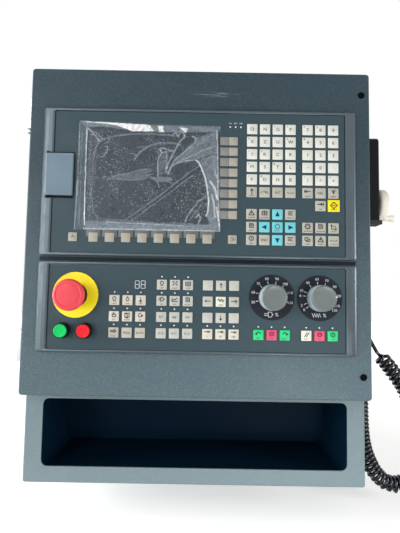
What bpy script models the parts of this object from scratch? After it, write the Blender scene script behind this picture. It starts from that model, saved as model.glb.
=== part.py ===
"""Operator console of a CNC turning lathe: a sheet steel cabinet whose door carries a screen unit and a
machine panel, with a storage pocket below the door and a hand wheel unit on a curly cord at its right side.

Metres. X is right, Y goes from the operator to the rear, Z is up. The origin is the rear face's centre."""

import math

import bmesh
import bpy
from mathutils import Vector

# Turns of the pieces: local Z points out of the front, out of the right side, or up
FRONT = (math.pi / 2, 0, 0)
RIGHT_SIDE = (math.pi / 2, 0, math.pi / 2)
UPRIGHT = (0, 0, 0)

# Clearances shared by all pieces
SEAT_GAP = 0.0003
RUNNING_GAP = 0.0004
OVERRUN = 0.002
WELD = 0.000001

# Cabinet
CABINET_DEPTH = 0.150
CABINET_SHEET = 0.002
CABINET_CORNER = 0.003
CABINET_EDGE = 0.0015
FRAME_WIDTH = 0.020
FRAME_CORNER = 0.006
MOUNT_HOLE = 0.009
MOUNT_HOLE_INSET = 0.048
CABLE_ENTRY_WIDTH = 0.110
CABLE_ENTRY_HEIGHT = 0.050
CABLE_ENTRY_CORNER = 0.012
CABLE_ENTRY_RISE = 0.120
GROMMET_LIP = 0.005
GROMMET_THICKNESS = 0.002

# Storage pocket under the door
POCKET_SIDE = 0.0240
POCKET_HEIGHT = 0.090
POCKET_TOP = 0.0095
POCKET_CORNER = 0.008
POCKET_SILL = 0.0215
POCKET_DEPTH = 0.115
POCKET_SHEET = 0.0015
POCKET_MARGIN = 0.003
POCKET_FLANGE = 0.007

# Door
DOOR_MARGIN_X = 0.0212
DOOR_MARGIN_Z = 0.0575
DOOR_DEPTH = 0.022
DOOR_SHEET = 0.002
DOOR_GAP = 0.003
DOOR_CORNER = 0.004
DOOR_EDGE = 0.002
DOOR_LIP = 0.014
SEAL_WIDTH = 0.010
PLUG_HOLE = 0.0084
PLUG_HEAD = 0.0094
PLUG_HEAD_HEIGHT = 0.0008
PLUG_HEAD_CHAMFER = 0.0005
PLUG_CATCH = 0.0089
PLUG_CATCH_LENGTH = 0.002
PLUG_TIP = 0.0070
PLUG_TIP_LENGTH = 0.003
PLUG_EDGE_DISTANCE = 0.0115
PLUG_END_DISTANCE = 0.0305

# Hinges
HINGE_HEIGHT = 0.040
HINGE_WING = 0.020
HINGE_THICKNESS = 0.005
HINGE_BARREL = 0.006
HINGE_PIN = 0.003
HINGE_PIN_HEAD = 0.0045
HINGE_PIN_HEAD_HEIGHT = 0.0015
HINGE_END_DISTANCE = 0.063
HINGE_HOLE = 0.0052
HINGE_HOLE_SPACING = 0.025
HINGE_HOLE_OFFSET = 0.0125
KNUCKLE_GAP = 0.0005

# Both units on the door
BEZEL_SPACE = 0.008
BEZEL_CORNER = 0.002
BEZEL_CROWN = 0.006
BEZEL_LEDGE = 0.0036
BEZEL_STRIP = 0.015
BEZEL_RIM = 0.0038
# Shares of the strip's and the rim's width with the drop below the crown at each
BEZEL_SECTION = ((0, 0.0024), (0.06, 0.0009), (0.2, 0.0003), (0.5, 0), (0.8, 0.0002), (0.95, 0.0007))
CUTOUT_MARGIN_X = 0.0185
CUTOUT_MARGIN_Z = 0.0085
HOUSING_CLEARANCE = 0.0015
HOUSING_WALL = 0.002
HOUSING_CORNER = 0.006
HOUSING_CHAMFER = 0.004
OVERLAY_THICKNESS = 0.0008
OVERLAY_MARGIN = 0.0004
KEY_RISE = 0.0006
KEY_TAPER = 0.0004
KEY_PITCH = 0.0172
BOARD_THICKNESS = 0.0016
BOARD_CORNER = 0.002

# Upper unit, measured from the bezel's centre
UPPER_HOUSING_DEPTH = 0.108
UPPER_KEY_GAP = 0.0032
LETTER_COLUMN_COUNT = 4
NUMBER_COLUMN_COUNT = 3
KEY_ROW_COUNT = 6
CURSOR_ROW_COUNT = 3
AREA_ROW_COUNT = 2
SOFT_KEY_COUNT = 8
SCREEN_LEFT_SPACE = 0.0440
SIDE_KEY_SPACE = 0.0010
LETTER_SPACE = 0.0121
NUMBER_SPACE = 0.0089
NUMBER_RIGHT_SPACE = 0.0087
TOP_ROW_DROP = 0.0251
CURSOR_ROW_SPACE = 0.0296
LAST_ROW_RISE = 0.0249
SIDE_KEY_WIDTH = 0.0238
SIDE_KEY_GAP = 0.0031
SIDE_KEY_DROP = 0.0147
SIDE_KEY_RISE = 0.0162
LOWER_KEY_INSET = 0.0122
LOWER_KEY_END = 0.01445
LOWER_KEY_DROP = 0.0167
LOWER_KEY_GAP = 0.00925
HOOD_GAP = 0.00195
HOOD_HEIGHT = 0.0125
HOOD_ABOVE_KEY = 0.0072
HOOD_RISE = 0.0003
RECALL_KEY_SPACE = 0.0270
MORE_KEY_SPACE = 0.0060
END_KEY = 0.0118
SCREEN_TOP_SPACE = 0.0275
SCREEN_BOTTOM_SPACE = 0.0415
SCREEN_WIDTH = 0.1775
GLASS_THICKNESS = 0.0015
GLASS_CORNER = 0.001
DISPLAY_FRAME = 0.0100
DISPLAY_THICKNESS = 0.012
FILM_LEFT = 0.0115
FILM_RIGHT = 0.0020
FILM_TOP = 0.0105
FILM_BOTTOM = 0.0075
FILM_THICKNESS = 0.0004
CONTROL_BOARD_MARGIN_X = 0.038
CONTROL_BOARD_MARGIN_Z = 0.013
CONTROL_BOARD_DEPTH = 0.045
SPACER = 0.008
SPACER_MARGIN = 0.008
VENT_COUNT = 5
VENT_WIDTH = 0.006
VENT_MARGIN = 0.030
VENT_PITCH = 0.024

# Port block with its flap, at the left of the upper unit
PORT_LEFT_SPACE = 0.0060
PORT_DROP = 0.0613
PORT_WIDTH = 0.0365
PORT_HEIGHT = 0.062
PORT_BODY_WIDTH = 0.019
PORT_BODY_DEPTH = 0.024
SOCKET_DEPTH = 0.012
CARD_SLOT_HEIGHT = 0.043
CARD_SLOT_WIDTH = 0.0045
USB_HEIGHT = 0.0135
USB_WIDTH = 0.0058
NETWORK_HEIGHT = 0.0130
NETWORK_WIDTH = 0.0085
SOCKET_SPACE = 0.0030
FLAP_THICKNESS = 0.0036
FLAP_EDGE = 0.0008
FLAP_END_GAP = 0.0006
EAR_HEIGHT = 0.0022
FLAP_PIN = 0.0007
FLAP_PIN_LENGTH = 0.0014

# Lower unit, measured from the bezel's centre
LOWER_HOUSING_DEPTH = 0.078
PANEL_KEY_GAP = 0.0039
LOWER_ROW_PITCH = 0.0211
BOTTOM_ROW_RISE = 0.0263
TOP_ROW_SPACE = 0.0284
GROUP_COLUMN_COUNT = 3
FIRST_GROUP_ROW_COUNT = 3
OTHER_GROUP_ROW_COUNT = 4
# Shares of the free width that lie left of each key group
GROUP_SPACE_SHARES = (0.267, 0.259, 0.2366)
DIGITS_OFFSET = 0.0160
DIGITS_RISE = 0.0209
DIGITS_WIDTH = 0.0150
DIGITS_HEIGHT = 0.0118
DIGITS_DEPTH = 0.008

# Emergency stop
STOP_LEFT_SPACE = 0.0058
STOP_DROP = 0.0136
STOP_PLATE = 0.060
STOP_PLATE_THICKNESS = 0.001
STOP_BUSH = 0.022
STOP_FLANGE = 0.032
STOP_FLANGE_HEIGHT = 0.0032
STOP_COLLAR_HEIGHT = 0.0088
STOP_STEM = 0.016
STOP_HEAD = 0.0402
STOP_NECK = 0.024
STOP_HEAD_FRONT = 0.0365
STOP_HEAD_REAR = 0.0208
STOP_HEAD_ROUNDING = 0.0035
STOP_TRAVEL = 0.005
STOP_BLOCK = 0.030
STOP_BLOCK_DEPTH = 0.052
STOP_STEM_REAR = 0.009

# Push buttons
BUTTON_SPACING = 0.0294
BUTTON_DROP = 0.0161
BUTTON_CAP = 0.0168
BUTTON_RING = 0.0188
BUTTON_BASE = 0.0206
BUTTON_BASE_HEIGHT = 0.0015
BUTTON_BUSH = 0.016
BUTTON_RING_FRONT = 0.0165
BUTTON_CAP_FRONT = 0.0177
BUTTON_CAP_THICKNESS = 0.0035
BUTTON_SHOULDER = 0.0080
BUTTON_STEM = 0.009
BUTTON_EDGE = 0.0006
BUTTON_TRAVEL = 0.003
BUTTON_BLOCK = 0.021
BUTTON_BLOCK_DEPTH = 0.033
BUTTON_STEM_REAR = 0.006

# Override dials
DIAL_SPACE = 0.0025
DIAL_RIGHT_SPACE = 0.0045
DIAL_DROP = 0.0127
DIAL_DISC = 0.0600
DIAL_DISC_THICKNESS = 0.0004
DIAL_BUSH = 0.010
KNOB_BASE = 0.0352
KNOB_FRONT = 0.0336
KNOB_HEIGHT = 0.0210
KNOB_LIFT = 0.0010
KNOB_EDGE = 0.0014
KNOB_BORE_DEPTH = 0.014
KNOB_CAP = 0.0280
KNOB_CAP_STEP = 0.0003
KNOB_NOTCH = 0.0016
KNOB_NOTCH_LENGTH = 0.0030
DIAL_SHAFT = 0.006
SWITCH_BODY = 0.026
SWITCH_DEPTH = 0.028
SHAFT_DEPTH = 0.020
SWITCH_BUSH_FRONT = 0.0042

# Hand unit on the right side, measured from the cabinet's right wall
HAND_Y = -0.090
HAND_WIDTH = 0.062
HAND_BOTTOM = 0.085
HAND_HEIGHT = 0.129
HAND_FACE = 0.037
HAND_BACK = 0.0040
HAND_COVER = 0.006
HAND_WALL = 0.0025
HAND_CORNER = 0.006
HAND_EDGE = 0.0015
WHEEL_CENTRE_RISE = 0.0322
WHEEL_SIZE = 0.049
WHEEL_DIAL = 0.054
WHEEL_DIAL_HEIGHT = 0.002
WHEEL_GAP = 0.003
WHEEL_THICKNESS = 0.0144
WHEEL_EDGE = 0.0030
WHEEL_DISH = 0.0030
WHEEL_DISH_SIZE = 0.026
WHEEL_BOSS = 0.014
WHEEL_SHAFT = 0.006
WHEEL_BORE_DEPTH = 0.010
CRANK_RADIUS = 0.0195
CRANK_GRIP = 0.010
CRANK_GRIP_LENGTH = 0.0150
CRANK_GRIP_EDGE = 0.0020
CRANK_PIN = 0.004
CRANK_PIN_HEAD = 0.0062
CRANK_PIN_HEAD_HEIGHT = 0.0015
CRANK_BORE_DEPTH = 0.009
ENCODER_SIZE = 0.036
ENCODER_DEPTH = 0.014
ENCODER_REAR = 0.0035

# Holder of the hand unit
HOLDER_SHEET = 0.002
HOLDER_PLATE_HEIGHT = 0.070
HOLDER_RIM = 0.004
HOLDER_SLOT = 0.020

# Cord
CORD = 0.0055
COIL = 0.025
COIL_POINTS = 38
LEAD_POINTS = 16
GLAND_BEHIND = 0.026
GLAND_Z = -0.070
GLAND_HEX = 0.019
GLAND_HEX_HEIGHT = 0.006
GLAND_DOME = 0.016
GLAND_LENGTH = 0.022
GLAND_THREAD = 0.016
GLAND_THREAD_LENGTH = 0.012
GLAND_NUT_HEIGHT = 0.005
RELIEF_LENGTH = 0.022
RELIEF_TOP = 0.014
RELIEF_BOTTOM = 0.009
RELIEF_FLANGE = 0.018

# Rest angles of the override knobs in degrees, anticlockwise from three o'clock
SPINDLE_REST = 45.0
FEED_REST = 7.5

# Steps round curves
FINE_STEPS = 28
ROUND_STEPS = 16
COARSE_STEPS = 12
CORNER_STEPS = 3

# Upper unit's layout, from left to right and from top to bottom, about the bezel's centre
KEY_STEPS_DOWN = KEY_ROW_COUNT + CURSOR_ROW_COUNT - 2
UPPER_BEZEL_HEIGHT = TOP_ROW_DROP + KEY_STEPS_DOWN * KEY_PITCH + CURSOR_ROW_SPACE + LAST_ROW_RISE
SCREEN_HEIGHT = UPPER_BEZEL_HEIGHT - SCREEN_TOP_SPACE - SCREEN_BOTTOM_SPACE
UPPER_KEY = KEY_PITCH - UPPER_KEY_GAP
SIDE_KEY_PITCH = (SCREEN_HEIGHT - SIDE_KEY_DROP - SIDE_KEY_RISE) / (SOFT_KEY_COUNT - 1)
SIDE_KEY_HEIGHT = SIDE_KEY_PITCH - SIDE_KEY_GAP
LOWER_KEY_PITCH = (SCREEN_WIDTH - LOWER_KEY_INSET - LOWER_KEY_END) / (SOFT_KEY_COUNT - 1)
LOWER_KEY = LOWER_KEY_PITCH - LOWER_KEY_GAP
HOOD_WIDTH = LOWER_KEY_PITCH - HOOD_GAP
LETTER_WIDTH = (LETTER_COLUMN_COUNT - 1) * KEY_PITCH + UPPER_KEY
NUMBER_WIDTH = (NUMBER_COLUMN_COUNT - 1) * KEY_PITCH + UPPER_KEY
SCREEN_SIDE = SCREEN_LEFT_SPACE + SCREEN_WIDTH + SIDE_KEY_SPACE + SIDE_KEY_WIDTH
KEY_SIDE = LETTER_SPACE + LETTER_WIDTH + NUMBER_SPACE + NUMBER_WIDTH + NUMBER_RIGHT_SPACE
BEZEL_WIDTH = SCREEN_SIDE + KEY_SIDE + 2 * BEZEL_STRIP
PANEL_LEFT = BEZEL_STRIP - BEZEL_WIDTH / 2
PANEL_RIGHT = BEZEL_WIDTH / 2 - BEZEL_STRIP
SCREEN_LEFT = PANEL_LEFT + SCREEN_LEFT_SPACE
SCREEN_X = SCREEN_LEFT + SCREEN_WIDTH / 2
SIDE_KEY_LEFT = SCREEN_LEFT + SCREEN_WIDTH + SIDE_KEY_SPACE + SIDE_KEY_WIDTH / 2
NUMBER_LEFT = PANEL_RIGHT - NUMBER_RIGHT_SPACE - NUMBER_WIDTH + UPPER_KEY / 2
LETTER_LEFT = NUMBER_LEFT - NUMBER_SPACE - LETTER_WIDTH
SCREEN_TOP = UPPER_BEZEL_HEIGHT / 2 - SCREEN_TOP_SPACE
SCREEN_BOTTOM = SCREEN_TOP - SCREEN_HEIGHT
SCREEN_Z = (SCREEN_TOP + SCREEN_BOTTOM) / 2
TOP_ROW = UPPER_BEZEL_HEIGHT / 2 - TOP_ROW_DROP
CURSOR_TOP_ROW = TOP_ROW - (KEY_ROW_COUNT - 1) * KEY_PITCH - CURSOR_ROW_SPACE
SIDE_KEY_TOP = SCREEN_TOP - SIDE_KEY_DROP
LOWER_KEY_LEFT = SCREEN_LEFT + LOWER_KEY_INSET
LOWER_KEY_ROW = SCREEN_BOTTOM - LOWER_KEY_DROP
RECALL_KEY_X = LOWER_KEY_LEFT - RECALL_KEY_SPACE
MORE_KEY_X = SIDE_KEY_LEFT + MORE_KEY_SPACE
PORT_X = -BEZEL_WIDTH / 2 + PORT_LEFT_SPACE + PORT_WIDTH / 2
PORT_Z = UPPER_BEZEL_HEIGHT / 2 - PORT_DROP - PORT_HEIGHT / 2

# Lower unit's layout about the bezel's centre
LOWER_BEZEL_HEIGHT = BOTTOM_ROW_RISE + (OTHER_GROUP_ROW_COUNT - 1) * LOWER_ROW_PITCH + TOP_ROW_SPACE
LOWER_KEY_SIZE = KEY_PITCH - PANEL_KEY_GAP
STOP_X = PANEL_LEFT + STOP_LEFT_SPACE + STOP_PLATE / 2
STOP_Z = LOWER_BEZEL_HEIGHT / 2 - STOP_DROP - STOP_PLATE / 2
BUTTON_Z = STOP_Z - STOP_PLATE / 2 - BUTTON_DROP
BOTTOM_ROW = BOTTOM_ROW_RISE - LOWER_BEZEL_HEIGHT / 2
FEED_X = PANEL_RIGHT - DIAL_RIGHT_SPACE - DIAL_DISC / 2
SPINDLE_X = FEED_X - DIAL_SPACE - DIAL_DISC
DIAL_Z = LOWER_BEZEL_HEIGHT / 2 - DIAL_DROP - DIAL_DISC / 2
GROUP_WIDTH = (GROUP_COLUMN_COUNT - 1) * KEY_PITCH + LOWER_KEY_SIZE
STOP_RIGHT = STOP_X + STOP_PLATE / 2
FREE_WIDTH = SPINDLE_X - DIAL_DISC / 2 - STOP_RIGHT - len(GROUP_SPACE_SHARES) * GROUP_WIDTH
FIRST_GROUP_LEFT = STOP_RIGHT + GROUP_SPACE_SHARES[0] * FREE_WIDTH + LOWER_KEY_SIZE / 2
SECOND_GROUP_LEFT = FIRST_GROUP_LEFT + GROUP_WIDTH + GROUP_SPACE_SHARES[1] * FREE_WIDTH
THIRD_GROUP_LEFT = SECOND_GROUP_LEFT + GROUP_WIDTH + GROUP_SPACE_SHARES[2] * FREE_WIDTH
DIGITS_X = FIRST_GROUP_LEFT + KEY_PITCH + DIGITS_OFFSET
DIGITS_Z = BOTTOM_ROW + (FIRST_GROUP_ROW_COUNT - 1) * LOWER_ROW_PITCH + DIGITS_RISE

# Cabinet and door follow from the units. Out is the distance in front of the rear face
UNITS_HEIGHT = UPPER_BEZEL_HEIGHT + BEZEL_SPACE + LOWER_BEZEL_HEIGHT
DOOR_HEIGHT = UNITS_HEIGHT + 2 * DOOR_MARGIN_Z
CABINET_WIDTH = BEZEL_WIDTH + 2 * DOOR_MARGIN_X
CABINET_HEIGHT = DOOR_HEIGHT + POCKET_TOP + POCKET_HEIGHT + POCKET_SILL
POCKET_WIDTH = CABINET_WIDTH - 2 * POCKET_SIDE
LEFT_SIDE = -CABINET_WIDTH / 2
RIGHT_WALL = CABINET_WIDTH / 2
CABINET_TOP = CABINET_HEIGHT / 2
DOOR_REAR = CABINET_DEPTH + DOOR_GAP
DOOR_FRONT = DOOR_REAR + DOOR_DEPTH
DOOR_CENTRE = CABINET_TOP - DOOR_HEIGHT / 2
DOOR_BOTTOM = CABINET_TOP - DOOR_HEIGHT
HINGE_X = LEFT_SIDE - SEAT_GAP - HINGE_BARREL
HINGE_OUT = CABINET_DEPTH + DOOR_GAP / 2
UPPER_CENTRE = (UNITS_HEIGHT - UPPER_BEZEL_HEIGHT) / 2
LOWER_CENTRE = (LOWER_BEZEL_HEIGHT - UNITS_HEIGHT) / 2
POCKET_CENTRE = -CABINET_HEIGHT / 2 + POCKET_SILL + POCKET_HEIGHT / 2
OVERLAY_BACK = BEZEL_LEDGE + SEAT_GAP
OVERLAY_FRONT = OVERLAY_BACK + OVERLAY_THICKNESS
COLLAR_SEAT = OVERLAY_FRONT + SEAT_GAP

# Cord routes: distance right of the right wall, distance behind the hand unit's middle plane, and height
COIL_ROUTE = (
    (0.0205, 0, 0.0627),
    (0.0200, 0, 0.0400),
    (0.0182, 0, -0.0200),
    (0.0173, 0, -0.1000),
    (0.0173, 0, -0.1900),
    (0.0185, 0, -0.2250),
    (0.0220, 0, -0.2480),
    (0.0290, 0, -0.2680),
    (0.0385, 0, -0.2850),
    (0.0500, 0, -0.2965),
    (0.0640, 0, -0.3020),
    (0.0790, 0, -0.3010),
    (0.0960, 0, -0.2915),
    (0.1080, 0, -0.2710),
    (0.1130, 0, -0.2430),
    (0.1080, 0, -0.2130),
    (0.0960, 0, -0.1850),
    (0.0810, 0, -0.1560),
    (0.0630, 0, -0.1310),
    (0.0478, 0, -0.1135),
)
LEAD_ROUTE = (
    (0.0223, 0.0260, -0.0700),
    (0.0268, 0.0255, -0.0708),
    (0.0318, 0.0205, -0.0765),
    (0.0352, 0.0120, -0.0855),
    (0.0382, 0.0040, -0.0958),
    (0.0424, 0, -0.1060),
    (0.0472, 0, -0.1128),
)


def clear_scene():
    for obj in list(bpy.data.objects):
        bpy.data.objects.remove(obj)


def material(name, colour, roughness, metallic=0.0):
    made = bpy.data.materials.new(name)
    made.use_nodes = True
    shader = made.node_tree.nodes["Principled BSDF"]
    shader.inputs["Base Color"].default_value = (*colour, 1)
    shader.inputs["Roughness"].default_value = roughness
    shader.inputs["Metallic"].default_value = metallic
    return made


def empty(name, parent, place, turn=UPRIGHT):
    made = bpy.data.objects.new(name, None)
    bpy.context.scene.collection.objects.link(made)
    made.parent = parent
    made.location = place
    made.rotation_euler = turn
    return made


def solid(name, mesh_data, finish, parent, place=(0, 0, 0), turn=UPRIGHT):
    """Turns a bmesh into a named object, smooth apart from its sharp edges."""
    bmesh.ops.remove_doubles(mesh_data, verts=mesh_data.verts, dist=WELD)
    bmesh.ops.recalc_face_normals(mesh_data, faces=mesh_data.faces)
    mesh = bpy.data.meshes.new(name)
    mesh_data.to_mesh(mesh)
    mesh_data.free()
    mesh.shade_smooth()
    mesh.set_sharp_from_angle(angle=math.radians(35))
    if finish is not None:
        mesh.materials.append(finish)
    made = bpy.data.objects.new(name, mesh)
    bpy.context.scene.collection.objects.link(made)
    made.parent = parent
    made.location = place
    made.rotation_euler = turn
    return made


def boolean(target, name, mesh_data, operation="DIFFERENCE", frame=None):
    """Cuts a helper shape from the target, or joins it on, in the target's frame unless one is given."""
    parent, place, turn = frame or (target.parent, target.location, target.rotation_euler)
    helper = solid(name, mesh_data, None, parent, place, turn)
    helper.hide_render = True
    helper.display_type = "WIRE"
    modifier = target.modifiers.new(name, "BOOLEAN")
    modifier.operation = operation
    modifier.solver = "EXACT"
    modifier.object = helper


def outline(width, height, corner, level, centre=(0, 0), steps=CORNER_STEPS):
    """Points of a rounded rectangle at one level of local Z, anticlockwise."""
    points = []
    for quarter in range(4):
        right = 1 if quarter in (0, 3) else -1
        top = 1 if quarter in (0, 1) else -1
        middle_x = centre[0] + right * (width / 2 - corner)
        middle_y = centre[1] + top * (height / 2 - corner)
        for step in range(steps + 1):
            angle = (quarter + step / steps) * math.pi / 2
            x = middle_x + corner * math.cos(angle)
            y = middle_y + corner * math.sin(angle)
            points.append((x, y, level))
    return points


def circle(size, level, centre=(0, 0), steps=ROUND_STEPS):
    """Points of a circle of the given diameter at one level of local Z."""
    points = []
    for step in range(steps):
        angle = 2 * math.pi * step / steps
        x = centre[0] + size / 2 * math.cos(angle)
        y = centre[1] + size / 2 * math.sin(angle)
        points.append((x, y, level))
    return points


def loft(loops, ring=False, into=None):
    """Joins loops of equal length with faces, then caps both ends or, for a ring, meets its own start."""
    mesh_data = bmesh.new() if into is None else into
    rows = [[mesh_data.verts.new(point) for point in loop] for loop in loops]
    pairs = list(zip(rows, rows[1:]))
    if ring:
        pairs.append((rows[-1], rows[0]))
    for low, high in pairs:
        for index in range(len(low)):
            after = (index + 1) % len(low)
            mesh_data.faces.new((low[index], low[after], high[after], high[index]))
    if not ring:
        mesh_data.faces.new(list(reversed(rows[0])))
        mesh_data.faces.new(rows[-1])
    return mesh_data


def block(width, height, low, high, centre=(0, 0), corner=0, into=None, steps=CORNER_STEPS):
    """A prism along local Z, square or with rounded corners."""
    if corner == 0:
        half_x, half_y = width / 2, height / 2
        signs = ((1, 1), (-1, 1), (-1, -1), (1, -1))
        loops = [[(centre[0] + x * half_x, centre[1] + y * half_y, z) for x, y in signs] for z in (low, high)]
    else:
        loops = [outline(width, height, corner, z, centre, steps) for z in (low, high)]
    return loft(loops, into=into)


def rod(size, low, high, centre=(0, 0), steps=ROUND_STEPS, into=None):
    """A plain cylinder along local Z."""
    return loft([circle(size, level, centre, steps) for level in (low, high)], into=into)


def turned(profile, steps=ROUND_STEPS, ring=False):
    """A turned shape: the profile lists (diameter, level), and a ring's profile closes on itself."""
    return loft([circle(size, level, steps=steps) for size, level in profile], ring)


def rounded_end(size, level, radius, steps=CORNER_STEPS):
    """Profile points of a rounded rim that ends on a flat face at the given level."""
    points = []
    for step in range(steps + 1):
        angle = math.pi / 2 * step / steps
        inward, back = radius * (1 - math.cos(angle)), radius * (1 - math.sin(angle))
        points.append((size - 2 * inward, level - back))
    return points


def smooth_route(route, count):
    """Points at even steps of a smooth curve through the route's own points."""
    ends = [2 * Vector(route[0]) - Vector(route[1]), 2 * Vector(route[-1]) - Vector(route[-2])]
    knots = [ends[0]] + [Vector(point) for point in route] + [ends[1]]
    fine = []
    for first in range(len(route) - 1):
        a, b, c, d = knots[first : first + 4]
        for step in range(count):
            t = step / count
            point = b * 2 + (c - a) * t + (a * 2 - b * 5 + c * 4 - d) * t**2 + (b * 3 - a - c * 3 + d) * t**3
            fine.append(point / 2)
    fine.append(knots[-2])
    lengths = [0]
    for near, far in zip(fine, fine[1:]):
        lengths.append(lengths[-1] + (far - near).length)
    even = []
    index = 0
    for step in range(count):
        wanted = lengths[-1] * step / (count - 1)
        while index < len(fine) - 2 and lengths[index + 1] < wanted:
            index += 1
        share = (wanted - lengths[index]) / (lengths[index + 1] - lengths[index])
        even.append(fine[index].lerp(fine[index + 1], share))
    return even


def tube(name, points, size, finish, resolution):
    """A curve with a round section and filled ends."""
    curve = bpy.data.curves.new(name, "CURVE")
    curve.dimensions = "3D"
    curve.bevel_depth = size / 2
    curve.bevel_resolution = resolution
    curve.use_fill_caps = True
    spline = curve.splines.new("POLY")
    spline.points.add(len(points) - 1)
    for slot, point in zip(spline.points, points):
        slot.co = (*point, 1)
    curve.materials.append(finish)
    made = bpy.data.objects.new(name, curve)
    bpy.context.scene.collection.objects.link(made)
    return made


def make_cabinet_shell(console, paint):
    """Folded sheet box: a frame round the opening behind the door, and a plate with the pocket's mouth."""
    inner_width = CABINET_WIDTH - 2 * CABINET_SHEET
    inner_height = CABINET_HEIGHT - 2 * CABINET_SHEET
    inner_corner = CABINET_CORNER - CABINET_SHEET
    size = (CABINET_WIDTH, CABINET_HEIGHT)
    front_size = (CABINET_WIDTH - 2 * CABINET_EDGE, CABINET_HEIGHT - 2 * CABINET_EDGE)
    loops = [
        outline(*size, CABINET_CORNER, 0),
        outline(*size, CABINET_CORNER, CABINET_DEPTH - CABINET_EDGE),
        outline(*front_size, CABINET_CORNER, CABINET_DEPTH),
    ]
    shell = solid("cabinet_shell", loft(loops), paint, console)
    cavity = block(
        inner_width, inner_height, CABINET_SHEET, CABINET_DEPTH - CABINET_SHEET, corner=inner_corner
    )
    boolean(shell, "cabinet_cavity", cavity)
    opening_width = CABINET_WIDTH - 2 * FRAME_WIDTH
    opening_height = DOOR_HEIGHT - 2 * FRAME_WIDTH
    low, high = CABINET_DEPTH - CABINET_SHEET - OVERRUN, CABINET_DEPTH + OVERRUN
    mouths = block(opening_width, opening_height, low, high, (0, DOOR_CENTRE), FRAME_CORNER)
    block(POCKET_WIDTH, POCKET_HEIGHT, low, high, (0, POCKET_CENTRE), POCKET_CORNER, into=mouths)
    boolean(shell, "cabinet_mouths", mouths)
    low, high = -OVERRUN, CABINET_SHEET + OVERRUN
    rear = block(
        CABLE_ENTRY_WIDTH, CABLE_ENTRY_HEIGHT, low, high, (0, CABLE_ENTRY_RISE), CABLE_ENTRY_CORNER
    )
    for x in (-1, 1):
        for y in (-1, 1):
            centre = (
                x * (CABINET_WIDTH / 2 - MOUNT_HOLE_INSET),
                y * (CABINET_HEIGHT / 2 - MOUNT_HOLE_INSET),
            )
            rod(MOUNT_HOLE, low, high, centre, COARSE_STEPS, into=rear)
    boolean(shell, "cabinet_rear_holes", rear)
    hole = rod(GLAND_THREAD + 2 * SEAT_GAP, -CABINET_SHEET - OVERRUN, OVERRUN, steps=COARSE_STEPS)
    frame = (None, (RIGHT_WALL, HAND_Y + GLAND_BEHIND, GLAND_Z), RIGHT_SIDE)
    boolean(shell, "gland_hole", hole, frame=frame)


def make_storage_pocket(console, paint):
    """Sheet tray behind the pocket's mouth, with a flange that is welded to the back of the front plate."""
    front = CABINET_DEPTH - CABINET_SHEET - SEAT_GAP
    inner = (POCKET_WIDTH + 2 * POCKET_MARGIN, POCKET_HEIGHT + 2 * POCKET_MARGIN)
    outer = (inner[0] + 2 * POCKET_SHEET, inner[1] + 2 * POCKET_SHEET)
    flange = (outer[0] + 2 * POCKET_FLANGE, outer[1] + 2 * POCKET_FLANGE)
    centre = (0, POCKET_CENTRE)
    back = front - POCKET_DEPTH
    corner = POCKET_CORNER + POCKET_MARGIN
    loops = [
        outline(*inner, corner, back + POCKET_SHEET, centre),
        outline(*inner, corner, front, centre),
        outline(*flange, corner + POCKET_FLANGE, front, centre),
        outline(*flange, corner + POCKET_FLANGE, front - POCKET_SHEET, centre),
        outline(*outer, corner + POCKET_SHEET, front - POCKET_SHEET, centre),
        outline(*outer, corner + POCKET_SHEET, back, centre),
    ]
    solid("storage_pocket", loft(loops), paint, console)


def make_cable_grommet(console, rubber):
    """Rubber edging in the rear cable entry, with a groove that grips the sheet."""
    lip = 2 * (GROMMET_LIP - GROMMET_THICKNESS)
    wide, narrow = CABLE_ENTRY_WIDTH - 2 * SEAT_GAP, CABLE_ENTRY_WIDTH - 2 * GROMMET_THICKNESS
    tall, short = CABLE_ENTRY_HEIGHT - 2 * SEAT_GAP, CABLE_ENTRY_HEIGHT - 2 * GROMMET_THICKNESS
    centre = (0, CABLE_ENTRY_RISE)
    sheet_front = CABINET_SHEET + SEAT_GAP
    corner = CABLE_ENTRY_CORNER
    loops = [
        outline(wide, tall, corner, -GROMMET_THICKNESS / 4, centre),
        outline(wide, tall, corner, sheet_front, centre),
        outline(wide + lip, tall + lip, corner + lip / 2, sheet_front, centre),
        outline(wide + lip, tall + lip, corner + lip / 2, sheet_front + GROMMET_THICKNESS, centre),
        outline(narrow, short, corner - GROMMET_THICKNESS, sheet_front + GROMMET_THICKNESS, centre),
        outline(narrow, short, corner - GROMMET_THICKNESS, -GROMMET_THICKNESS / 4, centre),
    ]
    solid("cable_grommet", loft(loops, ring=True), rubber, console)


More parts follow.
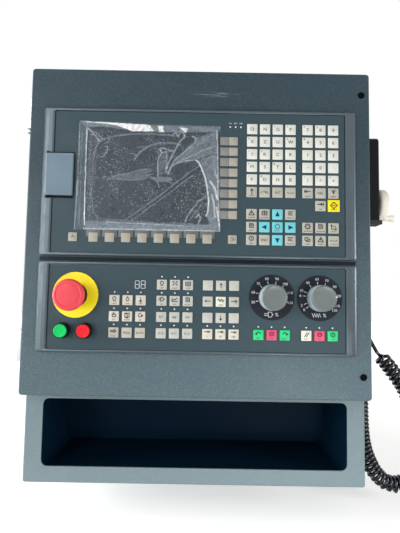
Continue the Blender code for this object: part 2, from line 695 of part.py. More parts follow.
def make_door_panel(door_front, paint):
    """Folded door pan with returned lips, cut for both units and the two screw holes."""
    width, height = CABINET_WIDTH, DOOR_HEIGHT
    sheet, edge = 2 * DOOR_SHEET, 2 * DOOR_EDGE
    inside_corner = DOOR_CORNER - DOOR_SHEET
    back, lip_front = -DOOR_DEPTH, -DOOR_DEPTH + DOOR_SHEET
    bend = 2 * DOOR_EDGE * (1 - math.cos(math.pi / 4))
    loops = [
        outline(width - sheet, height - sheet, inside_corner, -DOOR_SHEET),
        outline(width - sheet, height - sheet, inside_corner, lip_front),
        outline(width - 2 * DOOR_LIP, height - 2 * DOOR_LIP, inside_corner, lip_front),
        outline(width - 2 * DOOR_LIP, height - 2 * DOOR_LIP, inside_corner, back),
        outline(width, height, DOOR_CORNER, back),
        outline(width, height, DOOR_CORNER, -DOOR_EDGE),
        outline(width - bend, height - bend, DOOR_CORNER, -bend / 2),
        outline(width - edge, height - edge, DOOR_CORNER, 0),
    ]
    door = solid("door_panel", loft(loops), paint, door_front)
    low, high = -DOOR_SHEET - OVERRUN, OVERRUN
    cuts = bmesh.new()
    for centre, bezel_height in ((UPPER_CENTRE, UPPER_BEZEL_HEIGHT), (LOWER_CENTRE, LOWER_BEZEL_HEIGHT)):
        cut_width = BEZEL_WIDTH - 2 * CUTOUT_MARGIN_X
        cut_height = bezel_height - 2 * CUTOUT_MARGIN_Z
        block(cut_width, cut_height, low, high, (0, centre), HOUSING_CORNER, into=cuts)
    for top in (-1, 1):
        centre = (width / 2 - PLUG_EDGE_DISTANCE, top * (height / 2 - PLUG_END_DISTANCE))
        rod(PLUG_HOLE, low, high, centre, COARSE_STEPS, into=cuts)
    boolean(door, "door_cuts", cuts)


def make_door_plugs(door_front, black):
    """Two plugs that close the screw holes at the door's free edge."""
    stem = PLUG_HOLE - 2 * SEAT_GAP
    sheet_back = -DOOR_SHEET - SEAT_GAP
    catch_back = sheet_back - PLUG_CATCH_LENGTH
    profile = [
        (PLUG_TIP, catch_back - PLUG_TIP_LENGTH),
        (PLUG_CATCH, catch_back),
        (PLUG_CATCH, sheet_back),
        (stem, sheet_back),
        (stem, SEAT_GAP),
        (PLUG_HEAD, SEAT_GAP),
        (PLUG_HEAD - 2 * PLUG_HEAD_CHAMFER, SEAT_GAP + PLUG_HEAD_HEIGHT),
    ]
    for name, top in (("upper_door_plug", 1), ("lower_door_plug", -1)):
        x = CABINET_WIDTH / 2 - PLUG_EDGE_DISTANCE
        y = top * (DOOR_HEIGHT / 2 - PLUG_END_DISTANCE)
        solid(name, turned(profile, COARSE_STEPS), black, door_front, (x, y, 0))


def make_door_seal(door_front, rubber):
    """Foam seal on the door's lips, a hair short of the cabinet's frame."""
    back = -DOOR_DEPTH - DOOR_GAP + SEAT_GAP
    front = -DOOR_DEPTH - SEAT_GAP
    middle = FRAME_WIDTH / 2
    outer = (CABINET_WIDTH - middle, DOOR_HEIGHT - middle)
    inner = (outer[0] - 2 * SEAL_WIDTH, outer[1] - 2 * SEAL_WIDTH)
    loops = [
        outline(*outer, FRAME_CORNER, back),
        outline(*outer, FRAME_CORNER, front),
        outline(*inner, FRAME_CORNER, front),
        outline(*inner, FRAME_CORNER, back),
    ]
    solid("door_seal", loft(loops, ring=True), rubber, door_front)


def knuckle(low, high, into=None):
    """One hinge knuckle along local Y, between two heights."""
    loops = []
    for height in (low, high):
        ring = circle(2 * HINGE_BARREL, 0, steps=ROUND_STEPS)
        loops.append([(x, height, y) for x, y, _ in ring])
    return loft(loops, into=into)


def make_hinge(name, centre_y, console, door_hinge, steel, pin_steel):
    """A hinge of two cast wings with knuckles, and its pin. The barrel stands outside the left wall."""
    knuckle_height = HINGE_HEIGHT / 3
    wing_back = HINGE_BARREL - HINGE_THICKNESS
    bore = 2 * (HINGE_PIN + SEAT_GAP)
    wings = (
        ("fixed_leaf", -1, console, (HINGE_X, centre_y, HINGE_OUT), ((-1, -1), (1, 1))),
        ("door_leaf", 1, door_hinge, (0, centre_y, 0), ((0, 0),)),
    )
    for part, side, parent, place, knuckles in wings:
        near, far = side * DOOR_GAP / 2, side * HINGE_WING
        low, high = min(near, far), max(near, far)
        wing_x = wing_back + HINGE_THICKNESS / 2
        wing = block(HINGE_THICKNESS, HINGE_HEIGHT, low, high, (wing_x, 0))
        leaf = solid(f"{name}_{part}", wing, steel, parent, place)
        barrels = bmesh.new()
        for down, up in knuckles:
            middle = (down + up) / 2 * knuckle_height
            half = knuckle_height / 2 - KNUCKLE_GAP / 2
            knuckle(middle - half, middle + half, into=barrels)
        boolean(leaf, f"{name}_{part}_barrel", barrels, "UNION")
        room = bmesh.new()
        for other in (-1, 0, 1):
            if (other == 0) == (side == -1):
                gap = knuckle_height + KNUCKLE_GAP
                size = 2 * (HINGE_BARREL + RUNNING_GAP)
                high_loop = [(x, other * knuckle_height + gap / 2, y) for x, y, _ in circle(size, 0)]
                low_loop = [(x, other * knuckle_height - gap / 2, y) for x, y, _ in circle(size, 0)]
                loft([low_loop, high_loop], into=room)
        boolean(leaf, f"{name}_{part}_room", room)
        loops = []
        for height in (-HINGE_HEIGHT, HINGE_HEIGHT):
            loops.append([(x, height, y) for x, y, _ in circle(bore, 0, steps=COARSE_STEPS)])
        boolean(leaf, f"{name}_{part}_bore", loft(loops))
        holes = bmesh.new()
        for up in (-1, 1):
            out = side * HINGE_HOLE_OFFSET
            loops = []
            for x in (-HINGE_BARREL - OVERRUN, HINGE_BARREL + OVERRUN):
                ring = circle(HINGE_HOLE, 0, (up * HINGE_HOLE_SPACING / 2, out), COARSE_STEPS)
                loops.append([(x, y, z) for y, z, _ in ring])
            loft(loops, into=holes)
        boolean(leaf, f"{name}_{part}_holes", holes)
    half = HINGE_HEIGHT / 2
    profile = [
        (2 * HINGE_PIN, -half),
        (2 * HINGE_PIN, half + SEAT_GAP),
        (2 * HINGE_PIN_HEAD, half + SEAT_GAP),
        (2 * HINGE_PIN_HEAD, half + SEAT_GAP + HINGE_PIN_HEAD_HEIGHT),
    ]
    pin = turned(profile, COARSE_STEPS)
    solid(f"{name}_pin", pin, pin_steel, None, (HINGE_X, -HINGE_OUT, centre_y))


def bezel_loops(height):
    """The bezel's section: rounded outer edge, crowned strips at the sides, thin rims above and below."""
    width, corner, strip, rim = BEZEL_WIDTH, BEZEL_CORNER, 2 * BEZEL_STRIP, 2 * BEZEL_RIM
    loops = [outline(width, height, corner, SEAT_GAP)]
    for share, drop in BEZEL_SECTION:
        loops.append(outline(width - share * strip, height - share * rim, corner, BEZEL_CROWN - drop))
    loops.append(outline(width - strip, height - rim, corner, BEZEL_LEDGE))
    return loops


def make_bezel(name, height, unit, finish, windows):
    bezel = solid(name, loft(bezel_loops(height)), finish, unit)
    boolean(bezel, f"{name}_windows", windows)
    return bezel


def overlay_size(height):
    return (
        BEZEL_WIDTH - 2 * BEZEL_STRIP - 2 * OVERLAY_MARGIN,
        height - 2 * BEZEL_RIM - 2 * OVERLAY_MARGIN,
    )


def make_overlay(name, height, unit, finish, keys, windows, hoods=None):
    """The printed cover film, with embossed key tops joined on and windows cut out."""
    plate = block(*overlay_size(height), OVERLAY_BACK, OVERLAY_FRONT, corner=BEZEL_CORNER / 2, steps=1)
    overlay = solid(name, plate, finish, unit)
    if hoods:
        boolean(overlay, f"{name}_hoods", embossed(hoods, HOOD_RISE), "UNION")
    boolean(overlay, f"{name}_keys", embossed(keys, KEY_RISE), "UNION")
    boolean(overlay, f"{name}_windows", windows)
    return overlay


def embossed(fields, rise):
    """Tapered key tops that start inside the film. Each field is (x, y, width, height)."""
    made = bmesh.new()
    root = OVERLAY_BACK + OVERLAY_THICKNESS / 2
    signs = ((1, 1), (-1, 1), (-1, -1), (1, -1))
    for x, y, width, height in fields:
        loops = []
        for taper, level in ((0, root), (0, OVERLAY_FRONT), (KEY_TAPER, OVERLAY_FRONT + rise)):
            half_x, half_y = width / 2 - taper, height / 2 - taper
            loops.append([(x + a * half_x, y + b * half_y, level) for a, b in signs])
        loft(loops, into=made)
    return made


def key_grid(left, top, columns, rows, pitch_x, pitch_y, width, height):
    """Places of a grid of keys, from its top left key."""
    fields = []
    for row in range(rows):
        for column in range(columns):
            fields.append((left + column * pitch_x, top - row * pitch_y, width, height))
    return fields


def upper_keys():
    """Every key of the upper unit."""
    pitch, key = KEY_PITCH, UPPER_KEY
    fields = key_grid(LETTER_LEFT, TOP_ROW, LETTER_COLUMN_COUNT, KEY_ROW_COUNT, pitch, pitch, key, key)
    fields += key_grid(NUMBER_LEFT, TOP_ROW, NUMBER_COLUMN_COUNT, KEY_ROW_COUNT, pitch, pitch, key, key)
    extra_row = TOP_ROW - KEY_ROW_COUNT * pitch
    fields += key_grid(NUMBER_LEFT + pitch, extra_row, NUMBER_COLUMN_COUNT - 1, 1, pitch, pitch, key, key)
    fields += key_grid(LETTER_LEFT, CURSOR_TOP_ROW, LETTER_COLUMN_COUNT, CURSOR_ROW_COUNT, pitch, pitch, key, key)
    area_top = CURSOR_TOP_ROW - pitch
    fields += key_grid(NUMBER_LEFT, area_top, NUMBER_COLUMN_COUNT, AREA_ROW_COUNT, pitch, pitch, key, key)
    side = (SIDE_KEY_WIDTH, SIDE_KEY_HEIGHT)
    fields += key_grid(SIDE_KEY_LEFT, SIDE_KEY_TOP, 1, SOFT_KEY_COUNT, 0, SIDE_KEY_PITCH, *side)
    fields += lower_soft_keys()
    for x in (RECALL_KEY_X, MORE_KEY_X):
        fields.append((x, LOWER_KEY_ROW, END_KEY, END_KEY))
    return fields


def lower_soft_keys():
    size = (LOWER_KEY, LOWER_KEY)
    return key_grid(LOWER_KEY_LEFT, LOWER_KEY_ROW, SOFT_KEY_COUNT, 1, LOWER_KEY_PITCH, 0, *size)


def soft_key_hoods():
    """The pale tabs that frame the top of each key under the screen."""
    centre = LOWER_KEY_ROW + LOWER_KEY / 2 + HOOD_ABOVE_KEY - HOOD_HEIGHT / 2
    fields = []
    for x, _, _, _ in lower_soft_keys():
        fields.append((x, centre, HOOD_WIDTH, HOOD_HEIGHT))
    return fields


def lower_keys():
    """Every key of the lower unit."""
    step, key = LOWER_ROW_PITCH, LOWER_KEY_SIZE
    fields = []
    groups = (
        (FIRST_GROUP_LEFT, FIRST_GROUP_ROW_COUNT),
        (SECOND_GROUP_LEFT, OTHER_GROUP_ROW_COUNT),
        (THIRD_GROUP_LEFT, OTHER_GROUP_ROW_COUNT),
        (SPINDLE_X - KEY_PITCH, 1),
        (FEED_X - KEY_PITCH, 1),
    )
    for left, rows in groups:
        top = BOTTOM_ROW + (rows - 1) * step
        fields += key_grid(left, top, GROUP_COLUMN_COUNT, rows, KEY_PITCH, step, key, key)
    return fields


def screen_window(grow, low, high, into=None):
    size = (SCREEN_WIDTH + 2 * grow, SCREEN_HEIGHT + 2 * grow)
    return block(*size, low, high, (SCREEN_X, SCREEN_Z), GLASS_CORNER + grow, into=into)


def port_window(grow, low, high, into=None):
    size = (PORT_WIDTH + 2 * grow, PORT_HEIGHT + 2 * grow)
    return block(*size, low, high, (PORT_X, PORT_Z), into=into)


def housing_size(height, inset):
    """Width and height of a rear housing, drawn in by the inset all round."""
    width = BEZEL_WIDTH - 2 * (CUTOUT_MARGIN_X + HOUSING_CLEARANCE + inset)
    return width, height - 2 * (CUTOUT_MARGIN_Z + HOUSING_CLEARANCE + inset)


def make_housing(name, height, unit, finish, depth):
    """Rear housing: an open tray whose rim meets the back of the bezel, with vent slots in its rear wall."""
    width, tall = housing_size(height, 0)
    wall, chamfer, corner = 2 * HOUSING_WALL, 2 * HOUSING_CHAMFER, HOUSING_CORNER
    inner_corner = HOUSING_CORNER - HOUSING_WALL
    loops = [
        outline(width - wall, tall - wall, inner_corner, HOUSING_WALL - depth),
        outline(width - wall, tall - wall, inner_corner, 0),
        outline(width, tall, corner, 0),
        outline(width, tall, corner, HOUSING_CHAMFER - depth),
        outline(width - chamfer, tall - chamfer, corner, -depth),
    ]
    housing = solid(name, loft(loops), finish, unit)
    slots = bmesh.new()
    for index in range(VENT_COUNT):
        x = (index - (VENT_COUNT - 1) / 2) * VENT_PITCH
        low, high = -depth - OVERRUN, HOUSING_WALL - depth + OVERRUN
        block(VENT_WIDTH, tall - 2 * VENT_MARGIN, low, high, (x, 0), into=slots)
    boolean(housing, f"{name}_vents", slots)


def make_upper_unit(unit, finishes):
    """Screen and keyboard unit."""
    low, high = -OVERRUN, BEZEL_CROWN + OVERRUN
    windows = screen_window(SEAT_GAP, low, high)
    port_window(SEAT_GAP, low, high, into=windows)
    keys_width = NUMBER_LEFT - LETTER_LEFT + NUMBER_COLUMN_COUNT * KEY_PITCH
    keys_centre = (LETTER_LEFT + NUMBER_LEFT + (NUMBER_COLUMN_COUNT - 1) * KEY_PITCH) / 2
    keys_height = UPPER_BEZEL_HEIGHT - 4 * CUTOUT_MARGIN_Z
    block(keys_width, keys_height, low, high, (keys_centre, 0), into=windows)
    make_bezel("upper_bezel", UPPER_BEZEL_HEIGHT, unit, finishes["bezel"], windows)

    low, high = OVERLAY_BACK - OVERRUN, OVERLAY_FRONT + OVERRUN
    cuts = screen_window(SEAT_GAP, low, high)
    port_window(SEAT_GAP, low, high, into=cuts)
    height = UPPER_BEZEL_HEIGHT
    make_overlay("upper_overlay", height, unit, finishes["overlay"], upper_keys(), cuts, soft_key_hoods())

    board = block(
        keys_width - 2 * SEAT_GAP,
        keys_height - 2 * SEAT_GAP,
        BEZEL_LEDGE - BOARD_THICKNESS,
        BEZEL_LEDGE,
        (keys_centre, 0),
        BOARD_CORNER,
    )
    solid("upper_key_board", board, finishes["board"], unit)

    glass = screen_window(0, OVERLAY_FRONT - SEAT_GAP - GLASS_THICKNESS, OVERLAY_FRONT - SEAT_GAP)
    solid("screen_glass", glass, finishes["glass"], unit)
    make_display_module(unit, finishes["metal"])
    film_low = OVERLAY_FRONT + KEY_RISE + SEAT_GAP
    film_size = (SCREEN_WIDTH + FILM_LEFT + FILM_RIGHT, SCREEN_HEIGHT + FILM_TOP + FILM_BOTTOM)
    film_centre = (SCREEN_X + (FILM_RIGHT - FILM_LEFT) / 2, SCREEN_Z + (FILM_TOP - FILM_BOTTOM) / 2)
    film = block(*film_size, film_low, film_low + FILM_THICKNESS, film_centre)
    solid("screen_film", film, finishes["film"], unit)

    back = -CONTROL_BOARD_DEPTH
    inside = housing_size(height, HOUSING_WALL)
    size = (inside[0] - 2 * CONTROL_BOARD_MARGIN_X, inside[1] - 2 * CONTROL_BOARD_MARGIN_Z)
    board = block(*size, back, back + BOARD_THICKNESS, corner=BOARD_CORNER)
    board = solid("control_board", board, finishes["board"], unit)
    spacers = bmesh.new()
    low = -UPPER_HOUSING_DEPTH + HOUSING_WALL + SEAT_GAP
    for x in (-1, 1):
        for y in (-1, 1):
            corner_x = x * (size[0] / 2 - SPACER_MARGIN)
            corner_y = y * (size[1] / 2 - SPACER_MARGIN)
            rod(SPACER, low, back + BOARD_THICKNESS / 2, (corner_x, corner_y), COARSE_STEPS, spacers)
    boolean(board, "control_board_spacers", spacers, "UNION")
    depth = UPPER_HOUSING_DEPTH
    make_housing("upper_rear_housing", height, unit, finishes["housing"], depth)


def make_display_module(unit, metal):
    """Flat display: a frame with a step towards the glass."""
    centre = (SCREEN_X, SCREEN_Z)
    front = OVERLAY_FRONT - 2 * SEAT_GAP - GLASS_THICKNESS
    back = -DISPLAY_THICKNESS
    width, height = SCREEN_WIDTH, SCREEN_HEIGHT
    corner = GLASS_CORNER
    loops = [
        outline(width + 2 * DISPLAY_FRAME, height + 2 * DISPLAY_FRAME, corner, back, centre),
        outline(width + 2 * DISPLAY_FRAME, height + 2 * DISPLAY_FRAME, corner, 0, centre),
        outline(width, height, corner, 0, centre),
        outline(width, height, corner, front, centre),
    ]
    solid("display_module", loft(loops), metal, unit)


def make_port_block(unit, plastic):
    """Insert with the card slot, USB and network sockets, and the two ears that hold the flap."""
    x, y = PORT_X, PORT_Z
    plate = block(PORT_WIDTH, PORT_HEIGHT, SEAT_GAP, BEZEL_LEDGE, (x, y))
    insert = solid("port_block", plate, plastic, unit)
    body_x = x + PORT_WIDTH / 2 - PORT_BODY_WIDTH / 2
    body = block(PORT_BODY_WIDTH, PORT_HEIGHT - 2 * SOCKET_SPACE, -PORT_BODY_DEPTH, OVERLAY_BACK, (body_x, y))
    boolean(insert, "port_body", body, "UNION")
    ears = bmesh.new()
    axis_x, axis_out = flap_axis()
    for up in (-1, 1):
        middle = y + up * (PORT_HEIGHT / 2 - EAR_HEIGHT / 2)
        low, high = middle - EAR_HEIGHT / 2, middle + EAR_HEIGHT / 2
        half = FLAP_THICKNESS / 2
        section = [(axis_x + half, BEZEL_LEDGE - half), (axis_x + half, axis_out)]
        for step in range(1, 6):
            angle = math.pi * step / 6
            section.append((axis_x + half * math.cos(angle), axis_out + half * math.sin(angle)))
        section += [(axis_x - half, axis_out), (axis_x - half, BEZEL_LEDGE - half)]
        loft([[(a, level, b) for a, b in section] for level in (high, low)], into=ears)
    boolean(insert, "port_ears", ears, "UNION")
    bores = []
    for level in (y - PORT_HEIGHT, y + PORT_HEIGHT):
        ring = circle(2 * (FLAP_PIN + SEAT_GAP), 0, (axis_x, axis_out), 8)
        bores.append([(a, level, b) for a, b, _ in ring])
    boolean(insert, "port_ear_bores", loft(bores))
    low, high = BEZEL_LEDGE - SOCKET_DEPTH, BEZEL_LEDGE + OVERRUN
    sockets = bmesh.new()
    slot_x = body_x - PORT_BODY_WIDTH / 2 + SOCKET_SPACE / 2 + CARD_SLOT_WIDTH / 2
    block(CARD_SLOT_WIDTH, CARD_SLOT_HEIGHT, low, high, (slot_x, y), into=sockets)
    socket_x = body_x + PORT_BODY_WIDTH / 2 - SOCKET_SPACE / 2 - NETWORK_WIDTH / 2
    network_y = y - SOCKET_SPACE / 2 - NETWORK_HEIGHT / 2
    block(NETWORK_WIDTH, NETWORK_HEIGHT, low, high, (socket_x, network_y), into=sockets)
    usb_y = y + SOCKET_SPACE / 2 + USB_HEIGHT / 2
    block(USB_WIDTH, USB_HEIGHT, low, high, (socket_x, usb_y), into=sockets)
    boolean(insert, "port_sockets", sockets)


def flap_axis():
    """Place of the flap's hinge axis in the upper unit: (x, out)."""
    x = PORT_X - PORT_WIDTH / 2 + FLAP_THICKNESS / 2
    return x, BEZEL_CROWN + SEAT_GAP + FLAP_THICKNESS / 2


def make_port_flap(flap_hinge, rubber):
    """Cover over the sockets, rounded at its hinged edge, with a moulded pin at each end."""
    half = FLAP_THICKNESS / 2
    far = PORT_WIDTH - half
    edge = FLAP_EDGE
    section = [(0, -half), (far, -half), (far, half - edge), (far - edge, half), (0, half)]
    for step in range(1, 6):
        angle = math.pi / 2 + math.pi * step / 6
        section.append((half * math.cos(angle), half * math.sin(angle)))
    top = PORT_HEIGHT / 2 - EAR_HEIGHT - FLAP_END_GAP
    loops = [[(x, level, out) for x, out in section] for level in (top, -top)]
    flap = solid("port_flap", loft(loops), rubber, flap_hinge)
    loops = []
    for level in (top + FLAP_PIN_LENGTH + FLAP_END_GAP, -top - FLAP_PIN_LENGTH - FLAP_END_GAP):
        loops.append([(x, level, out) for x, out, _ in circle(2 * FLAP_PIN, 0, steps=8)])
    boolean(flap, "port_flap_pins", loft(loops), "UNION")


def make_lower_unit(unit, finishes):
    """Machine panel: bezel plate, overlay with keys, two digits, and the housing behind."""
    low, high = -OVERRUN, BEZEL_CROWN + OVERRUN
    windows = bmesh.new()
    panel_holes(windows, low, high, SEAT_GAP)
    field = key_field()
    block(*field[0], low, high, field[1], into=windows)
    make_bezel("lower_bezel", LOWER_BEZEL_HEIGHT, unit, finishes["bezel"], windows)
    cuts = bmesh.new()
    panel_holes(cuts, OVERLAY_BACK - OVERRUN, OVERLAY_FRONT + OVERRUN, SEAT_GAP)
    block(
        DIGITS_WIDTH + 2 * SEAT_GAP,
        DIGITS_HEIGHT + 2 * SEAT_GAP,
        OVERLAY_BACK - OVERRUN,
        OVERLAY_FRONT + OVERRUN,
        (DIGITS_X, DIGITS_Z),
        into=cuts,
    )
    make_overlay("lower_overlay", LOWER_BEZEL_HEIGHT, unit, finishes["overlay"], lower_keys(), cuts)
    size = (field[0][0] - 2 * SEAT_GAP, field[0][1] - 2 * SEAT_GAP)
    front = OVERLAY_FRONT - SEAT_GAP - DIGITS_DEPTH
    board = block(*size, front - SEAT_GAP - BOARD_THICKNESS, front - SEAT_GAP, field[1], BOARD_CORNER)
    solid("lower_key_board", board, finishes["board"], unit)
    digits = block(
        DIGITS_WIDTH, DIGITS_HEIGHT, front, front + DIGITS_DEPTH, (DIGITS_X, DIGITS_Z), SEAT_GAP, steps=1
    )
    solid("digit_display", digits, finishes["black"], unit)
    depth = LOWER_HOUSING_DEPTH
    make_housing("lower_rear_housing", LOWER_BEZEL_HEIGHT, unit, finishes["housing"], depth)


def key_field():
    """The window in the lower bezel behind the three key groups: ((width, height), centre)."""
    left = FIRST_GROUP_LEFT - LOWER_KEY_SIZE
    right = THIRD_GROUP_LEFT + 2 * KEY_PITCH + LOWER_KEY_SIZE
    tall = LOWER_BEZEL_HEIGHT - 4 * CUTOUT_MARGIN_Z
    return (right - left, tall), ((left + right) / 2, 0)


def button_places():
    return (("green", STOP_X - BUTTON_SPACING / 2), ("red", STOP_X + BUTTON_SPACING / 2))


def dial_places():
    """Name, place and rest angle of each dial, the angle in degrees anticlockwise from three o'clock."""
    return (("spindle", SPINDLE_X, SPINDLE_REST), ("feed", FEED_X, FEED_REST))


def panel_holes(into, low, high, gap):
    """Round holes for the emergency stop, the buttons and the dials."""
    rod(STOP_BUSH + 2 * gap, low, high, (STOP_X, STOP_Z), ROUND_STEPS, into)
    for _, x in button_places():
        rod(BUTTON_BUSH + 2 * gap, low, high, (x, BUTTON_Z), ROUND_STEPS, into)
    for _, x, _ in dial_places():
        rod(DIAL_BUSH + 2 * gap, low, high, (x, DIAL_Z), ROUND_STEPS, into)


def make_emergency_stop(unit, finishes):
    """Yellow plate, collar, stem that pushes in, head that turns to release, and the contact block."""
    place = (STOP_X, STOP_Z, 0)
    plate_back = COLLAR_SEAT
    plate_front = plate_back + STOP_PLATE_THICKNESS
    hole = STOP_BUSH + 2 * SEAT_GAP
    plate = [(hole, plate_back), (hole, plate_front), (STOP_PLATE, plate_front), (STOP_PLATE, plate_back)]
    solid("estop_legend_plate", turned(plate, FINE_STEPS, ring=True), finishes["yellow"], unit, place)
    seat = plate_front + SEAT_GAP
    bore = STOP_STEM + 2 * RUNNING_GAP
    shoulder = seat + STOP_FLANGE_HEIGHT
    front = seat + STOP_COLLAR_HEIGHT
    collar = [
        (bore, -STOP_STEM_REAR),
        (STOP_BUSH, -STOP_STEM_REAR),
        (STOP_BUSH, seat),
        (STOP_FLANGE, seat),
        (STOP_FLANGE, shoulder - STOP_FLANGE_HEIGHT / 4),
        (STOP_FLANGE - STOP_FLANGE_HEIGHT / 2, shoulder),
        (STOP_NECK, shoulder),
        (STOP_NECK, front),
        (bore, front),
    ]
    solid("estop_collar", turned(collar, ROUND_STEPS, ring=True), finishes["black"], unit, place)
    bore_end = STOP_HEAD_FRONT - STOP_HEAD_ROUNDING - SEAT_GAP
    stem = [(STOP_STEM, -STOP_STEM_REAR), (STOP_STEM, bore_end - SEAT_GAP)]
    solid("estop_stem", turned(stem), finishes["metal"], unit, place)
    head = [(bore, bore_end), (bore, STOP_HEAD_REAR), (STOP_NECK, STOP_HEAD_REAR)]
    rim_back = STOP_HEAD_FRONT - 2 * STOP_HEAD_ROUNDING
    head += [(STOP_NECK, STOP_HEAD_REAR + STOP_HEAD_ROUNDING / 2)]
    head += [(STOP_HEAD - STOP_HEAD_ROUNDING, rim_back - STOP_HEAD_ROUNDING / 4)]
    head += [(STOP_HEAD, rim_back)]
    head += rounded_end(STOP_HEAD, STOP_HEAD_FRONT, STOP_HEAD_ROUNDING)
    solid("estop_head", turned(head, FINE_STEPS), finishes["red"], unit, place)
    size = (STOP_BLOCK, STOP_BLOCK_DEPTH, STOP_BUSH, STOP_STEM_REAR + STOP_TRAVEL)
    contact_block("estop_contact_block", *size, unit, finishes["housing"], place)


def contact_block(name, size, depth, bush, pocket_depth, unit, finish, place):
    """Switch block on the back of the panel, with a round pocket for the bush and the stem's travel."""
    contact = solid(name, block(size, size, -depth, 0), finish, unit, place)
    boolean(contact, f"{name}_pocket", rod(bush + 2 * SEAT_GAP, -pocket_depth - SEAT_GAP, OVERRUN))


def make_push_button(colour, x, unit, finishes):
    """Lit push button: a collar with a ring round the cap, a cap with its stem, and a contact block."""
    place = (x, BUTTON_Z, 0)
    bore = BUTTON_CAP + 2 * RUNNING_GAP
    stem_bore = BUTTON_STEM + 2 * RUNNING_GAP
    seat = COLLAR_SEAT
    collar = [
        (stem_bore, -BUTTON_STEM_REAR / 2),
        (BUTTON_BUSH, -BUTTON_STEM_REAR / 2),
        (BUTTON_BUSH, seat),
        (BUTTON_BASE, seat),
        (BUTTON_BASE, seat + BUTTON_BASE_HEIGHT),
        (BUTTON_RING, seat + BUTTON_BASE_HEIGHT),
        (BUTTON_RING, BUTTON_RING_FRONT - BUTTON_EDGE),
        (BUTTON_RING - BUTTON_EDGE, BUTTON_RING_FRONT),
        (bore, BUTTON_RING_FRONT),
        (bore, BUTTON_SHOULDER),
        (stem_bore, BUTTON_SHOULDER),
    ]
    solid(f"{colour}_button_collar", turned(collar, ROUND_STEPS, ring=True), finishes["black"], unit, place)
    cap_back = BUTTON_CAP_FRONT - BUTTON_CAP_THICKNESS
    cap = [(BUTTON_STEM, -BUTTON_STEM_REAR), (BUTTON_STEM, cap_back), (BUTTON_CAP, cap_back)]
    cap += rounded_end(BUTTON_CAP, BUTTON_CAP_FRONT, BUTTON_EDGE, steps=2)
    solid(f"{colour}_button_cap", turned(cap), finishes[colour], unit, place)
    size = (BUTTON_BLOCK, BUTTON_BLOCK_DEPTH, BUTTON_BUSH, BUTTON_STEM_REAR + BUTTON_TRAVEL)
    contact_block(f"{colour}_button_contact", *size, unit, finishes["housing"], place)


def make_override_dial(name, x, rest, unit, finishes):
    """Scale disc, knob on its shaft, and the rotary switch behind the panel."""
    place = (x, DIAL_Z, 0)
    hole = DIAL_BUSH + 2 * SEAT_GAP
    back = COLLAR_SEAT
    front = back + DIAL_DISC_THICKNESS
    scale = [(hole, back), (hole, front), (DIAL_DISC, front), (DIAL_DISC, back)]
    solid(f"{name}_dial_scale", turned(scale, FINE_STEPS, ring=True), finishes["black"], unit, place)
    knob_back = back + KNOB_LIFT
    knob_front = knob_back + KNOB_HEIGHT
    bore = DIAL_SHAFT + 2 * SEAT_GAP
    knob = [(bore, knob_back + KNOB_BORE_DEPTH), (bore, knob_back), (KNOB_BASE, knob_back)]
    knob += rounded_end(KNOB_FRONT, knob_front, KNOB_EDGE)
    knob += [(KNOB_CAP, knob_front), (KNOB_CAP - 2 * KNOB_CAP_STEP, knob_front - KNOB_CAP_STEP)]
    turn = (0, 0, math.radians(rest))
    turning = solid(f"{name}_knob", turned(knob, FINE_STEPS), finishes["knob"], unit, place, turn)
    low, high = knob_front - KNOB_NOTCH / 2, knob_front + OVERRUN
    length = KNOB_NOTCH_LENGTH + OVERRUN
    notch_x = KNOB_FRONT / 2 - KNOB_NOTCH_LENGTH + length / 2
    boolean(turning, f"{name}_knob_notch", block(length, KNOB_NOTCH, low, high, (notch_x, 0)))
    rear = -SHAFT_DEPTH
    shaft = [(DIAL_SHAFT, rear), (DIAL_SHAFT, knob_back + KNOB_BORE_DEPTH - SEAT_GAP)]
    solid(f"{name}_shaft", turned(shaft, COARSE_STEPS), finishes["metal"], unit, place)
    turning_bore = DIAL_SHAFT + 2 * RUNNING_GAP
    switch = [
        (turning_bore, rear - RUNNING_GAP),
        (turning_bore, SWITCH_BUSH_FRONT),
        (DIAL_BUSH, SWITCH_BUSH_FRONT),
        (DIAL_BUSH, 0),
        (SWITCH_BODY, 0),
        (SWITCH_BODY, -SWITCH_DEPTH),
    ]
    solid(f"{name}_switch", turned(switch, ROUND_STEPS), finishes["housing"], unit, place)


def hand_outline(level, inset=0):
    """The hand unit's outline at one level, drawn in by the inset."""
    size = (HAND_WIDTH - 2 * inset, HAND_HEIGHT - 2 * inset)
    return outline(*size, HAND_CORNER - inset, level)


